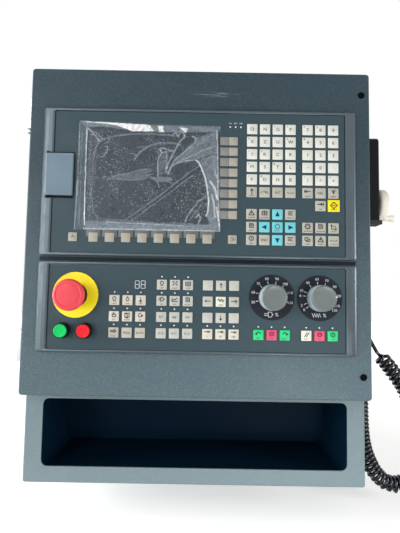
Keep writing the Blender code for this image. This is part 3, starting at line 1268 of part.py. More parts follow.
def make_hand_unit(side, finishes):
    """Hand wheel box: case, rear cover, encoder with its shaft, wheel, crank pin and turning grip."""
    centre = HAND_BOTTOM + HAND_HEIGHT / 2
    place = (0, centre, 0)
    back = HAND_BACK + HAND_COVER + SEAT_GAP
    face = HAND_FACE
    wheel_y = WHEEL_CENTRE_RISE - HAND_HEIGHT / 2
    loops = [
        hand_outline(face - HAND_WALL, HAND_WALL),
        hand_outline(back, HAND_WALL),
        hand_outline(back),
        hand_outline(face - HAND_EDGE),
        hand_outline(face, HAND_EDGE),
    ]
    case = solid("hand_unit_case", loft(loops), finishes["black"], side, place)
    dial_front = face + WHEEL_DIAL_HEIGHT
    dial = rod(WHEEL_DIAL, face - HAND_WALL / 2, dial_front, (0, wheel_y), FINE_STEPS)
    boolean(case, "wheel_dial", dial, "UNION")
    bore = rod(WHEEL_SHAFT + 2 * RUNNING_GAP, back, dial_front + OVERRUN, (0, wheel_y), COARSE_STEPS)
    boolean(case, "wheel_shaft_hole", bore)
    throat = rod(RELIEF_TOP + 2 * SEAT_GAP, -OVERRUN, HAND_WALL + OVERRUN, steps=COARSE_STEPS)
    frame = (None, (RIGHT_WALL + relief_out(), HAND_Y, HAND_BOTTOM), UPRIGHT)
    boolean(case, "relief_hole", throat, frame=frame)

    loops = [
        hand_outline(HAND_BACK, HAND_EDGE),
        hand_outline(HAND_BACK + HAND_EDGE),
        hand_outline(HAND_BACK + HAND_COVER),
    ]
    solid("hand_unit_cover", loft(loops), finishes["black"], side, place)
    make_handwheel(side, centre + wheel_y, finishes)


def relief_out():
    """Distance of the cord's exit from the cabinet's right wall: the middle of the hand unit's case."""
    return (HAND_BACK + HAND_FACE) / 2


def make_handwheel(side, height, finishes):
    """Wheel, shaft and encoder on one axis, and the crank at six o'clock."""
    back = HAND_FACE + WHEEL_DIAL_HEIGHT + WHEEL_GAP
    front = back + WHEEL_THICKNESS
    bore = WHEEL_SHAFT + 2 * SEAT_GAP
    place = (0, height, 0)
    wheel = [(bore, back + WHEEL_BORE_DEPTH), (bore, back), (WHEEL_BOSS, back)]
    wheel += [(WHEEL_SIZE - 2 * WHEEL_EDGE, back), (WHEEL_SIZE, back + WHEEL_EDGE)]
    wheel += rounded_end(WHEEL_SIZE, front, WHEEL_EDGE)
    wheel += [(WHEEL_DISH_SIZE, front), (WHEEL_BOSS, front - WHEEL_DISH)]
    turning = solid("handwheel", turned(wheel, FINE_STEPS), finishes["wheel"], side, place)
    pin_back = front - CRANK_BORE_DEPTH
    pin_hole = rod(CRANK_PIN + 2 * SEAT_GAP, pin_back, front + OVERRUN, (0, -CRANK_RADIUS), COARSE_STEPS)
    boolean(turning, "crank_pin_hole", pin_hole)

    encoder_front = HAND_FACE - HAND_WALL - SEAT_GAP
    encoder_back = encoder_front - ENCODER_DEPTH
    shaft_rear = encoder_back + ENCODER_REAR
    shaft = [(WHEEL_SHAFT, shaft_rear), (WHEEL_SHAFT, back + WHEEL_BORE_DEPTH - SEAT_GAP)]
    solid("handwheel_shaft", turned(shaft, COARSE_STEPS), finishes["metal"], side, place)
    turning_bore = WHEEL_SHAFT + 2 * RUNNING_GAP
    encoder = [
        (turning_bore, shaft_rear - RUNNING_GAP),
        (turning_bore, encoder_front),
        (ENCODER_SIZE, encoder_front),
        (ENCODER_SIZE, encoder_back),
    ]
    solid("handwheel_encoder", turned(encoder), finishes["metal"], side, place)

    crank = (0, height - CRANK_RADIUS, 0)
    grip_back = front + RUNNING_GAP
    grip_front = grip_back + CRANK_GRIP_LENGTH
    seat = grip_front - CRANK_PIN_HEAD_HEIGHT - RUNNING_GAP
    inner = CRANK_PIN + 2 * RUNNING_GAP
    head_bore = CRANK_PIN_HEAD + 2 * RUNNING_GAP
    grip = [(inner, seat), (inner, grip_back), (CRANK_GRIP, grip_back)]
    grip += rounded_end(CRANK_GRIP, grip_front, CRANK_GRIP_EDGE / 2)
    grip += [(head_bore, grip_front), (head_bore, seat)]
    grip_mesh = turned(grip, ROUND_STEPS, ring=True)
    solid("handwheel_crank_grip", grip_mesh, finishes["wheel"], side, crank)
    head_back = seat + RUNNING_GAP
    pin = [(CRANK_PIN, pin_back + SEAT_GAP), (CRANK_PIN, head_back), (CRANK_PIN_HEAD, head_back)]
    pin += [(CRANK_PIN_HEAD, head_back + CRANK_PIN_HEAD_HEIGHT - RUNNING_GAP)]
    solid("handwheel_crank_pin", turned(pin, COARSE_STEPS), finishes["metal"], side, crank)


def make_hand_unit_holder(side, steel):
    """Bent sheet holder: a plate on the cabinet wall and a tray for the unit, slotted for its cord."""
    outside = 2 * (HOLDER_SHEET + SEAT_GAP)
    width = HAND_WIDTH + outside
    floor_low = HAND_BOTTOM - SEAT_GAP - HOLDER_SHEET
    tray_top = HAND_BOTTOM - SEAT_GAP + HOLDER_RIM
    plate_front = SEAT_GAP + HOLDER_SHEET
    reach = HAND_FACE + SEAT_GAP + HOLDER_SHEET
    tray = block(width, tray_top - floor_low, SEAT_GAP, reach, (0, (floor_low + tray_top) / 2))
    holder = solid("hand_unit_holder", tray, steel, side)
    plate_top = floor_low + HOLDER_PLATE_HEIGHT
    plate_middle = (floor_low + plate_top) / 2
    plate = block(width - 2 * HAND_CORNER, HOLDER_PLATE_HEIGHT, SEAT_GAP, plate_front, (0, plate_middle), 0)
    boolean(holder, "holder_plate", plate, "UNION")
    hollow_high = tray_top + OVERRUN
    hollow_low = HAND_BOTTOM - SEAT_GAP
    hollow = block(
        HAND_WIDTH + 2 * SEAT_GAP,
        hollow_high - hollow_low,
        plate_front,
        HAND_FACE + SEAT_GAP,
        (0, (hollow_low + hollow_high) / 2),
    )
    boolean(holder, "holder_hollow", hollow)
    slot_back = relief_out() - HOLDER_SLOT / 2
    slot = block(
        HOLDER_SLOT,
        tray_top - floor_low + 2 * OVERRUN,
        slot_back,
        reach + OVERRUN,
        (0, (floor_low + tray_top) / 2),
    )
    boolean(holder, "holder_slot", slot)


def make_strain_relief(rubber):
    """Tapered boot under the hand unit, held by a flange inside the case."""
    wall_top = HAND_WALL + SEAT_GAP
    profile = [
        (RELIEF_BOTTOM, -RELIEF_LENGTH),
        (RELIEF_TOP, -HOLDER_SHEET - OVERRUN),
        (RELIEF_TOP, wall_top),
        (RELIEF_FLANGE, wall_top),
        (RELIEF_FLANGE, wall_top + HAND_WALL),
    ]
    place = (RIGHT_WALL + relief_out(), HAND_Y, HAND_BOTTOM)
    solid("hand_unit_strain_relief", turned(profile), rubber, None, place)


def make_cabinet_gland(side, plastic):
    """Cable gland in the right wall, and its nut inside."""
    place = (GLAND_BEHIND, GLAND_Z, 0)
    hex_front = SEAT_GAP + GLAND_HEX_HEIGHT
    bore = CORD + 2 * SEAT_GAP
    inside = -CABINET_SHEET - GLAND_THREAD_LENGTH
    profile = [
        (bore, inside),
        (GLAND_THREAD, inside),
        (GLAND_THREAD, SEAT_GAP),
        (GLAND_HEX, SEAT_GAP),
        (GLAND_HEX, hex_front),
        (GLAND_DOME, hex_front),
        (GLAND_DOME, GLAND_LENGTH - GLAND_HEX_HEIGHT),
        (bore + GLAND_HEX_HEIGHT / 2, GLAND_LENGTH),
        (bore, GLAND_LENGTH),
    ]
    solid("cabinet_gland", turned(profile, COARSE_STEPS, ring=True), plastic, side, place)
    nut_front = -CABINET_SHEET - SEAT_GAP
    nut_back = nut_front - GLAND_NUT_HEIGHT
    hole = GLAND_THREAD + 2 * SEAT_GAP
    across = GLAND_HEX + 2 * CABINET_SHEET
    loops = [circle(hole, nut_back, steps=COARSE_STEPS), circle(hole, nut_front, steps=COARSE_STEPS)]
    loops += [hexagon(across, nut_front), hexagon(across, nut_back)]
    solid("cabinet_gland_nut", loft(loops, ring=True), plastic, side, place)


def hexagon(across, level):
    """Twelve points round a hexagon: its corners and the middles of its sides."""
    points = []
    for step in range(COARSE_STEPS):
        angle = 2 * math.pi * step / COARSE_STEPS
        radius = across / 2 if step % 2 == 0 else across / 2 * math.cos(math.pi / 6)
        points.append((radius * math.cos(angle), radius * math.sin(angle), level))
    return points


def make_cord(black):
    """The coiled stretch as one tube of its outer diameter, and the straight lead to the cabinet's gland."""
    for name, route, count, size in (
        ("curly_cord", COIL_ROUTE, COIL_POINTS, COIL),
        ("cord_lead", LEAD_ROUTE, LEAD_POINTS, CORD),
    ):
        points = []
        for out, behind, height in smooth_route(route, count):
            points.append((RIGHT_WALL + out, HAND_Y + behind, height))
        tube(name, points, size, black, 3 if name == "curly_cord" else 2)


def make_finishes():
    return {
        "paint": material("slate_textured_paint", (0.062, 0.089, 0.112), 0.55),
        "bezel": material("grey_green_profile", (0.23, 0.29, 0.31), 0.4),
        "overlay": material("slate_film", (0.065, 0.105, 0.14), 0.45),
        "housing": material("zinc_plated_housing", (0.45, 0.46, 0.47), 0.4, 0.8),
        "board": material("circuit_board", (0.02, 0.12, 0.05), 0.5),
        "glass": material("display_glass", (0.02, 0.02, 0.022), 0.1),
        "film": material("protective_film", (0.6, 0.63, 0.65), 0.2),
        "metal": material("bright_steel", (0.6, 0.6, 0.6), 0.3, 1.0),
        "steel": material("cast_zinc", (0.6, 0.61, 0.62), 0.35, 1.0),
        "black": material("black_plastic", (0.015, 0.016, 0.018), 0.45),
        "rubber": material("black_rubber", (0.012, 0.012, 0.012), 0.7),
        "flap": material("blue_grey_flap", (0.22, 0.3, 0.38), 0.5),
        "yellow": material("signal_yellow", (0.85, 0.65, 0.01), 0.45),
        "red": material("signal_red", (0.75, 0.03, 0.04), 0.35),
        "green": material("signal_green", (0.0, 0.45, 0.12), 0.3),
        "knob": material("grey_knob", (0.2, 0.22, 0.23), 0.5),
        "wheel": material("cream_wheel", (0.72, 0.69, 0.6), 0.35),
    }


def main():
    clear_scene()
    finishes = make_finishes()
    console = empty("console_frame", None, (0, 0, 0), FRONT)
    door_hinge = empty("door_hinge_axis", console, (HINGE_X, 0, HINGE_OUT))
    door_front = empty("door_front_centre", door_hinge, (-HINGE_X, DOOR_CENTRE, DOOR_FRONT - HINGE_OUT))
    upper_unit = empty("upper_unit_centre", door_front, (0, UPPER_CENTRE, 0))
    lower_unit = empty("lower_unit_centre", door_front, (0, LOWER_CENTRE, 0))
    axis_x, axis_out = flap_axis()
    flap_hinge = empty("port_flap_axis", upper_unit, (axis_x, PORT_Z, axis_out))
    side = empty("right_side", None, (RIGHT_WALL, HAND_Y, 0), RIGHT_SIDE)

    make_cabinet_shell(console, finishes["paint"])
    make_storage_pocket(console, finishes["paint"])
    make_cable_grommet(console, finishes["rubber"])
    make_door_panel(door_front, finishes["paint"])
    make_door_plugs(door_front, finishes["black"])
    make_door_seal(door_front, finishes["rubber"])
    upper_hinge = CABINET_TOP - HINGE_END_DISTANCE
    lower_hinge = DOOR_BOTTOM + HINGE_END_DISTANCE
    for name, height in (("upper_hinge", upper_hinge), ("lower_hinge", lower_hinge)):
        make_hinge(name, height, console, door_hinge, finishes["steel"], finishes["metal"])
    make_upper_unit(upper_unit, finishes)
    make_port_block(upper_unit, finishes["black"])
    make_port_flap(flap_hinge, finishes["flap"])
    make_lower_unit(lower_unit, finishes)
    make_emergency_stop(lower_unit, finishes)
    for colour, x in button_places():
        make_push_button(colour, x, lower_unit, finishes)
    for name, x, rest in dial_places():
        make_override_dial(name, x, rest, lower_unit, finishes)
    make_hand_unit_holder(side, finishes["steel"])
    make_hand_unit(side, finishes)
    make_strain_relief(finishes["rubber"])
    make_cabinet_gland(side, finishes["black"])
    make_cord(finishes["rubber"])


main()
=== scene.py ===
"""Looks of the operator console: camera, light, materials, printed legends and fine surface pieces."""

import math

import bmesh
import bpy
import numpy as np
from mathutils import Matrix, Vector, noise


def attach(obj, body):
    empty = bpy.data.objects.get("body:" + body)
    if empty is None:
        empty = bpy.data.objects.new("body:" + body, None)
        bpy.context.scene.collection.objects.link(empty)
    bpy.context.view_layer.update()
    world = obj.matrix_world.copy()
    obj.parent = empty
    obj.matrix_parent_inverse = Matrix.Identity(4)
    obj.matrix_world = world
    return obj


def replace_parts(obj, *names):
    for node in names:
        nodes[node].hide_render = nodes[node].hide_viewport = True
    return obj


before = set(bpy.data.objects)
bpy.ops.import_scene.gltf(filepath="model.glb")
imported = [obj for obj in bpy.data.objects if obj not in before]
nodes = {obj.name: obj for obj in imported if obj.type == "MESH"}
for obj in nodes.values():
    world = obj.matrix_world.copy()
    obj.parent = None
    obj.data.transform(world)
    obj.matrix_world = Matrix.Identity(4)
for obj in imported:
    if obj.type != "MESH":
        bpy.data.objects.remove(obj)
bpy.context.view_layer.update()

# Places of the CAD model in metres: the door's front, the two units' centres and half heights, the hand unit
DOOR_FRONT = 0.175
UPPER_Z = 0.1235
UPPER_HALF = 0.100
LOWER_Z = -0.0435
LOWER_HALF = 0.059
RIGHT_WALL = 0.2312
HAND_Y = -0.090
WHEEL_Z = 0.1172
CRANK_RADIUS = 0.0195

# Hinges: the axis along the depth, the middles' heights, the screws' distance from both, the leaves' face
HINGE_Y = -0.1515
HINGE_CENTRES = (0.2155, -0.0945)
HINGE_HOLE = 0.0125
HINGE_FACE = 0.2365
SCREW_RADIUS = 0.0036
SCREW_RISE = 0.0016
WASHER = 0.0006

# Heights in front of the door, and the back and front of each print (the wheel's from the right wall)
OVERLAY_TOP = 0.0047
KEY_FACE = 0.0057
HOOD_FACE = 0.0053
SCALE_TOP = 0.0054
DIGIT_FACE = 0.0044
FILM_HEIGHT = 0.0058
SUNK = 0.0003
INK = 0.00012
KEY_PRINT = (KEY_FACE - INK, KEY_FACE + INK)
OVERLAY_PRINT = (OVERLAY_TOP - INK, OVERLAY_TOP + INK)
SCALE_PRINT = (SCALE_TOP - INK, SCALE_TOP + INK)
DIGIT_PRINT = (DIGIT_FACE - INK, DIGIT_FACE + INK)
WHEEL_PRINT = (0.0390 - INK, 0.0390 + INK)

# Layout of the upper unit, from its centre
KEY_PITCH = 0.0172
UPPER_KEY = 0.0138
YELLOW_KEY = 0.0158
YELLOW_SHIFT = 0.0005
LETTER_LEFT = 0.0704
NUMBER_LEFT = 0.1449
TOP_ROW = 0.0749
LAST_ROW = TOP_ROW - 5 * KEY_PITCH
CURSOR_ROW = -0.0407
SIDE_KEY_LEFT = 0.0394
SIDE_KEY_TOP = 0.0577
SIDE_KEY_PITCH = 0.0143
SIDE_KEY_WIDTH = 0.0236
SIDE_KEY_HEIGHT = 0.0110
SIDE_KEY_GAP = 0.0002
SOFT_KEY_COUNT = 8
SOFT_KEY_LEFT = -0.1388
SOFT_KEY_ROW = -0.0752
SOFT_KEY_PITCH = 0.02155
SOFT_KEY = 0.0121
HOOD_CENTRE = -0.0681
HOOD_WIDTH = 0.0196
HOOD_HEIGHT = 0.0125
HOOD_CORNER = 0.0006
RECALL_X = -0.1658
MORE_X = 0.0454
END_KEY = 0.0116
END_STROKE = 0.0006
FILM_CENTRE = (-0.0670, 0.0085)
FILM_SIZE = (0.1906, 0.1486)
UPPER_LAMPS = ((0.0408, "ON"), (0.0480, "RDY"), (0.0551, "TMP"))
UPPER_LAMP_Z = 0.0774
UPPER_LAMP = 0.0011
LAMP_WORD_RISE = 0.0051
LAMP_WORD_HEIGHT = 0.0017
LAMP_WORD_WIDTH = 0.0055
GAP_WIDTH = 0.4196
GAP_HEIGHT = 0.0044

# Film: its cells, how far its ripple, creases and wavering lines move it, and how its corners lie askew
FILM_CELLS = (200, 156)
FILM_THICKNESS = 0.00012
RIPPLE_RISE = 0.0002
CREASE_RISE = 0.0011
WAVER = 0.0022
WAVER_CELLS = 17
LOWER_LEFT_OUT = 0.0025
LOWER_RIGHT_OUT = 0.0010
UPPER_RIGHT_DOWN = 0.0050

# Layout of the lower unit, from its centre
LOWER_KEY = 0.0131
LOWER_ROW = 0.0211
BOTTOM_ROW = -0.0327
ARROW_KEYS = 0.0141
LOWER_LAMP = 0.0010
LAMP_RISE = 0.0104
STEP_ICON_RISE = 0.0014
STEP_NUMBER_DROP = 0.0030
STEP_NUMBER_HEIGHT = 0.0027
STOP_PLACE = (-0.1592, LOWER_Z + 0.0154)
GREEN_PLACE = (-0.1739, LOWER_Z - 0.0307)
RED_PLACE = (-0.1445, LOWER_Z - 0.0307)
SPINDLE_PLACE = (0.0980, LOWER_Z + 0.0163)
FEED_PLACE = (0.1605, LOWER_Z + 0.0163)
DIGITS_PLACE = (-0.0749, LOWER_Z + 0.0302)
DIGIT_SIZE = (0.0062, 0.0108)
DIGIT_OFFSET = 0.0039

# Lettering: a capital's height in the font's units, and how far the edges of bold letters are moved out
CAPITAL = 0.73
BOLD = 0.004

# Legends, in shares of a key's width: sizes, strokes and places of what is printed on it
LETTER_HEIGHT = 0.34
WORD_HEIGHT = 0.24
WORD_WIDTH = 0.80
ICON_STROKE = 0.07
THIN_STROKE = 0.05
ICON_DROP = 0.03
TRIANGLE = 0.29
CAPTION_DROP = 0.33
CAPTION_HEIGHT = 0.13
CAPTIONED_RISE = 0.07
CAPTIONED_SIZE = 1.08
SIGN_SHIFT = (-0.33, 0.31)
SIGN_HEIGHT = 0.15

# Knobs: steps round them, the rows of their profile that carry ribs, and the pointer
KNOB_STEPS = 160
RIBBED = (5, 8)
RIB_SHARE = 0.972
POINTER_ENDS = (0.0144, 0.0163)
POINTER_WIDTH = 0.0011
POINTER_LEVELS = (0.0262, 0.02702)

# Scales round the knobs: numbers, ticks, and the symbol and percent sign below
NUMBER_RADIUS = 0.0252
NUMBER_HEIGHT = 0.0036
TICK_ENDS = (0.0182, 0.0214)
TICK_WIDTH = 0.0008
SYMBOL_DROP = 0.0223
PERCENT_SHIFT = 0.0066
PERCENT_HEIGHT = 0.0048

# Graduation behind the hand wheel
GRADUATIONS = 100
SHORT_TICK = (0.0252, 0.0262)
LONG_TICK = (0.0250, 0.0268)
GRADUATION_WIDTH = 0.00025

# Cord
CORD_DIAMETER = 0.0056
COIL_RADIUS = 0.0095
COIL_STEPS = 14
TIGHT_PITCH = 0.0060
OPEN_PITCH = 0.0082
TIGHT_UNTIL = 0.30
OPENING_RUN = 0.10
COIL_START = 0.014
COIL_END = 0.007
SHORTEST_STEP = 0.0012

# Camera, floor and plain light
CAMERA_PLACE = (0.0026, -0.7058, -0.0221)
CAMERA_TURNS = ((0.07, "Z"), (1.01, "Y"), (-3.69, "X"))
SENSOR = 36
FOCAL_SHARE = 400 / 533
FLOOR_Z = -0.330
FLOOR_REACH = 4.0
WORLD_LIGHT = 0.30


# Colours and materials

def rgba(red, green, blue, alpha=1.0):
    """Linear colour of an sRGB colour written from 0 to 255."""
    made = []
    for value in (red, green, blue):
        share = value / 255
        made.append(share / 12.92 if share <= 0.04045 else ((share + 0.055) / 1.055) ** 2.4)
    return (*made, alpha)


def add_node(tree, kind, inputs=None, output=0, **settings):
    """Adds a shader node, links or sets its inputs, and returns one of its outputs."""
    made = tree.nodes.new(kind)
    for name, value in settings.items():
        setattr(made, name, value)
    for socket, value in (inputs or {}).items():
        if isinstance(value, bpy.types.NodeSocket):
            tree.links.new(value, made.inputs[socket])
        else:
            made.inputs[socket].default_value = value
    return made.outputs[output]


class Surface:
    """A material built from its shader outwards: tints, roughness and bumps are added one by one."""

    def __init__(self, name, colour, roughness, specular=0.5, **sockets):
        self.material = bpy.data.materials.new(name)
        self.material.use_nodes = True
        self.tree = self.material.node_tree
        self.shader = self.tree.nodes["Principled BSDF"]
        self.base = rgba(*colour)
        self.normal = None
        plain = {"Base Color": self.base, "Roughness": roughness, "Specular IOR Level": specular}
        for socket, value in sockets.items():
            plain[socket.replace("_", " ").title()] = value
        for socket, value in plain.items():
            self.shader.inputs[socket].default_value = value
        self.straight = self.node("ShaderNodeTexCoord", output="Object")
        turn = {"Vector": self.straight, "Rotation": (0.61, 0.37, 0.83)}
        self.place = self.node("ShaderNodeMapping", turn)

    def node(self, kind, inputs=None, output=0, **settings):
        return add_node(self.tree, kind, inputs, output, **settings)

    def link(self, source, socket):
        self.tree.links.new(source, self.shader.inputs[socket])

    def noise(self, scale, detail, stretch=None, distortion=0.0):
        """Noise of so many cells a metre, its grid out of line with the panels unless it is stretched."""
        place = self.place
        if stretch:
            place = self.node("ShaderNodeMapping", {"Vector": self.straight, "Scale": stretch})
        settings = {"Vector": place, "Scale": scale, "Detail": detail, "Distortion": distortion}
        return self.node("ShaderNodeTexNoise", settings, "Fac")

    def cells(self, scale, feature="F1"):
        settings = {"Vector": self.place, "Scale": scale}
        return self.node("ShaderNodeTexVoronoi", settings, "Distance", feature=feature)

    def axis(self, name):
        return self.node("ShaderNodeSeparateXYZ", {0: self.straight}, name)

    def attribute(self, name):
        return self.node("ShaderNodeAttribute", output="Fac", attribute_name=name)

    def span(self, value, low, high, bottom=0.0, top=1.0):
        """The value between low and high, mapped to bottom and top and held there."""
        ends = {"Value": value, "From Min": low, "From Max": high, "To Min": bottom, "To Max": top}
        return self.node("ShaderNodeMapRange", ends, "Result")

    def times(self, one, other):
        return self.node("ShaderNodeMath", {0: one, 1: other}, operation="MULTIPLY")

    def tint(self, mask, colour):
        self.base = self.node("ShaderNodeMix", {0: mask, 6: self.base, 7: rgba(*colour)}, 2, data_type="RGBA")
        self.link(self.base, "Base Color")

    def mottle(self, colour, scale, detail, low, high, amount, stretch=None):
        """Tints the spots where noise rises from low to high, by the amount at most."""
        self.tint(self.span(self.noise(scale, detail, stretch), low, high, 0, amount), colour)

    def dull(self, scale, detail, low, high, stretch=None):
        """Roughness that noise moves between low and high."""
        self.link(self.span(self.noise(scale, detail, stretch), 0.3, 0.7, low, high), "Roughness")

    def bump(self, height, distance, strength):
        inputs = {"Height": height, "Distance": distance, "Strength": strength}
        if self.normal is not None:
            inputs["Normal"] = self.normal
        self.normal = self.node("ShaderNodeBump", inputs, "Normal")
        self.link(self.normal, "Normal")

    def grain(self, scale, detail, distance, strength, stretch=None):
        self.bump(self.noise(scale, detail, stretch), distance, strength)


def textured_paint(name, colour, pale, dark, painted_sheen, gloss=0.25, specks=0.24, scuffs=False):
    """Powder coat with a fine grain of pale and dark specks, dull patches, a painted sheen that pales it
    lower down, and a painted sparkle of pale specks that grows lower down.
    """
    made = Surface(name, colour, 0.5, gloss)
    made.mottle(dark, 6, 3, 0.35, 0.7, 0.35)
    made.mottle(pale, 760, 2, 0.54, 0.68, 0.55)
    made.mottle(dark, 560, 2, 0.55, 0.70, 0.55, (1, 1.1, 0.9))
    # painted sheen: the paint turns paler towards the bottom, for the light that falls on it from low in
    # front
    made.tint(made.span(made.axis("Z"), 0.16, -0.30, 0, 0.64), painted_sheen)
    # painted sparkle: pale specks in the grain, four times stronger at the bottom than at the top, for light
    # glinting off the grain lower down
    lower_sparkle = made.span(made.axis("Z"), 0.20, -0.20, 0.25 * specks, specks)
    made.tint(made.times(made.span(made.noise(900, 2), 0.56, 0.70), lower_sparkle), (190, 204, 208))
    made.dull(18, 4, 0.42, 0.56)
    if scuffs:
        across = made.times(made.span(made.axis("X"), -0.012, 0.004), made.span(made.axis("X"), 0.074, 0.050))
        up = made.times(made.span(made.axis("Z"), 0.2440, 0.2465), made.span(made.axis("Z"), 0.2525, 0.2495))
        streaks = made.span(made.noise(120, 5, (0.22, 1, 6.0)), 0.50, 0.62, 0, 0.6)
        made.tint(made.times(made.times(across, up), streaks), (150, 160, 166))
    made.grain(650, 3, 0.00022, 0.8)
    made.grain(2400, 2, 0.00006, 0.6)
    return made.material


def coated_profile():
    made = Surface("coated_profile", (90, 101, 107), 0.32, metallic=0.85)
    made.mottle((78, 88, 93), 40, 3, 0.35, 0.7, 0.3, (1, 1, 0.05))
    made.mottle((120, 132, 138), 1100, 2, 0.58, 0.7, 0.4)
    made.dull(70, 4, 0.28, 0.40)
    made.grain(1100, 3, 0.00012, 0.7)
    return made.material


def overlay_film():
    made = Surface("overlay_film", (48, 67, 75), 0.5, 0.3)
    made.mottle((54, 73, 81), 9, 3, 0.35, 0.7, 0.4)
    made.mottle((62, 80, 90), 1500, 2, 0.55, 0.7, 0.3)
    made.dull(30, 4, 0.42, 0.58)
    made.grain(3000, 2, 0.00003, 0.7)
    return made.material


def key_plastic(name, colour, worn):
    """Satin film over a key, faintly cloudy, with dust in its grain and patches that are duller."""
    made = Surface(name, colour, 0.42, 0.45)
    made.mottle(worn, 90, 4, 0.4, 0.75, 0.45)
    made.mottle(worn, 1900, 2, 0.62, 0.72, 0.25)
    made.dull(160, 3, 0.35, 0.52)
    made.grain(2600, 2, 0.00003, 0.6)
    return made.material


def moulded(name, colour, shade, roughness=0.45, grain=1200, depth=0.00005, specular=0.5, **sockets):
    """Moulded plastic or rubber with a fine spark-eroded grain."""
    made = Surface(name, colour, roughness, specular, **sockets)
    made.mottle(shade, 35, 4, 0.35, 0.7, 0.5)
    made.mottle(shade, 700, 3, 0.6, 0.72, 0.25)
    made.dull(60, 4, roughness - 0.06, roughness + 0.1)
    made.grain(grain, 3, depth, 0.7)
    return made.material


def bare_metal(name, colour, shade, roughness, stretch=(1, 1, 1)):
    made = Surface(name, colour, roughness, metallic=1.0)
    made.mottle(shade, 420, 3, 0.4, 0.7, 0.5, stretch)
    made.dull(260, 4, roughness - 0.08, roughness + 0.14, stretch)
    made.grain(900, 3, 0.00004, 0.5, stretch)
    return made.material


def printed(name, colour, shade):
    made = Surface(name, colour, 0.5, 0.3)
    made.mottle(shade, 800, 3, 0.45, 0.7, 0.5)
    made.grain(2500, 2, 0.00002, 0.5)
    return made.material


def dark_screen():
    """Display glass seen through the film: near black, with a mottled cloud of glue and dust specks."""
    made = Surface("dark_screen", (48, 51, 57), 0.35, 0.3)
    made.mottle((52, 59, 69), 14, 4, 0.35, 0.7, 0.7)
    # painted reflection: the glass turns paler and bluer towards the left, where the light comes from
    made.tint(made.span(made.axis("X"), 0.015, -0.15, 0, 0.45), (62, 72, 86))
    made.mottle((40, 41, 44), 260, 4, 0.5, 0.66, 0.5)
    clouds = ((330, 16, 0.43, 0.57, 0.25), (560, 34, 0.48, 0.60, 0.28), (230, 25, 0.50, 0.58, 0.19))
    for scale, cloud, low, high, reach in clouds:
        specks = made.span(made.cells(scale), reach, reach - 0.07)
        grouped = made.times(made.span(made.noise(cloud, 3), low, high), specks)
        made.tint(made.times(grouped, 0.70), (176, 182, 186))
    made.dull(50, 4, 0.24, 0.4)
    made.grain(420, 3, 0.00005, 0.5)
    return made.material


def wrinkled_film():
    """Clear film that turns milky where it is creased or lifts from the glass, partly its own haziness and
    partly painted reflection, and near white at its painted glints.
    """
    made = Surface("wrinkled_film", (150, 164, 176), 0.14, 0.6, coat_weight=0.3)
    # painted glints: the film is tinted near white where its glint is high
    made.tint(made.span(made.attribute("glint"), 0.15, 0.8), (250, 251, 250))
    fine = made.span(made.noise(210, 5, distortion=0.6), 0.30, 0.70, 0.45, 1.15)
    # milky where creased or lifted: partly the film's own haziness, partly painted reflection of its creases
    made.link(made.times(made.span(made.attribute("crease"), 0, 1, 0.04, 0.95), fine), "Alpha")
    made.dull(120, 3, 0.10, 0.26)
    made.bump(made.noise(150, 4, distortion=0.4), 0.0004, 0.6)
    return made.material


def circuit_board():
    made = Surface("circuit_board", (30, 92, 58), 0.4)
    made.tint(made.span(made.cells(240, "DISTANCE_TO_EDGE"), 0.06, 0.03, 0, 0.6), (44, 122, 78))
    made.tint(made.span(made.cells(420), 0.14, 0.08, 0, 0.9), (196, 180, 120))
    made.bump(made.cells(240, "DISTANCE_TO_EDGE"), 0.00008, 0.6)
    return made.material


def pale_floor():
    """White floor that keeps the object's shadow near it and fades into the white background."""
    made = Surface("pale_floor", (236, 236, 234), 0.7, 0.2)
    made.mottle((230, 230, 228), 3, 3, 0.4, 0.7, 0.4)
    made.grain(90, 3, 0.0002, 0.3)
    seen = made.node("ShaderNodeLightPath", output="Is Camera Ray")
    distance = made.node("ShaderNodeVectorMath", {0: made.straight}, "Value", operation="LENGTH")
    made.shader.inputs["Emission Color"].default_value = (1, 1, 1, 1)
    made.link(made.times(seen, made.span(distance, 0.55, 1.30, 0.48, 1.0)), "Emission Strength")
    return made.material


# Colour and worn shade of the key films and of the printing inks
KEY_COLOURS = {
    "white_key": ((220, 221, 212), (208, 209, 200)),
    "grey_key": ((180, 178, 166), (166, 164, 153)),
    "cream_key": ((190, 185, 172), (176, 170, 158)),
    "bright_key": ((212, 207, 192), (198, 193, 178)),
    "cool_key": ((190, 190, 182), (178, 178, 170)),
    "wave_key": ((226, 224, 208), (214, 211, 196)),
    "soft_key": ((164, 160, 148), (151, 148, 137)),
    "shade_key": ((132, 132, 128), (120, 120, 117)),
    "cyan_key": ((112, 200, 208), (100, 186, 195)),
    "yellow_key": ((247, 227, 22), (232, 210, 20)),
    "green_key": ((28, 205, 122), (20, 184, 108)),
    "pink_key": ((222, 78, 112), (202, 64, 98)),
}
INK_COLOURS = {
    "dark_ink": ((38, 44, 48), (58, 62, 64)),
    "blue_ink": ((6, 44, 70), (10, 56, 84)),
    "scale_ink": ((208, 215, 220), (190, 198, 204)),
    "white_ink": ((226, 230, 230), (206, 211, 212)),
    "digit_segment": ((206, 213, 215), (190, 198, 200)),
}


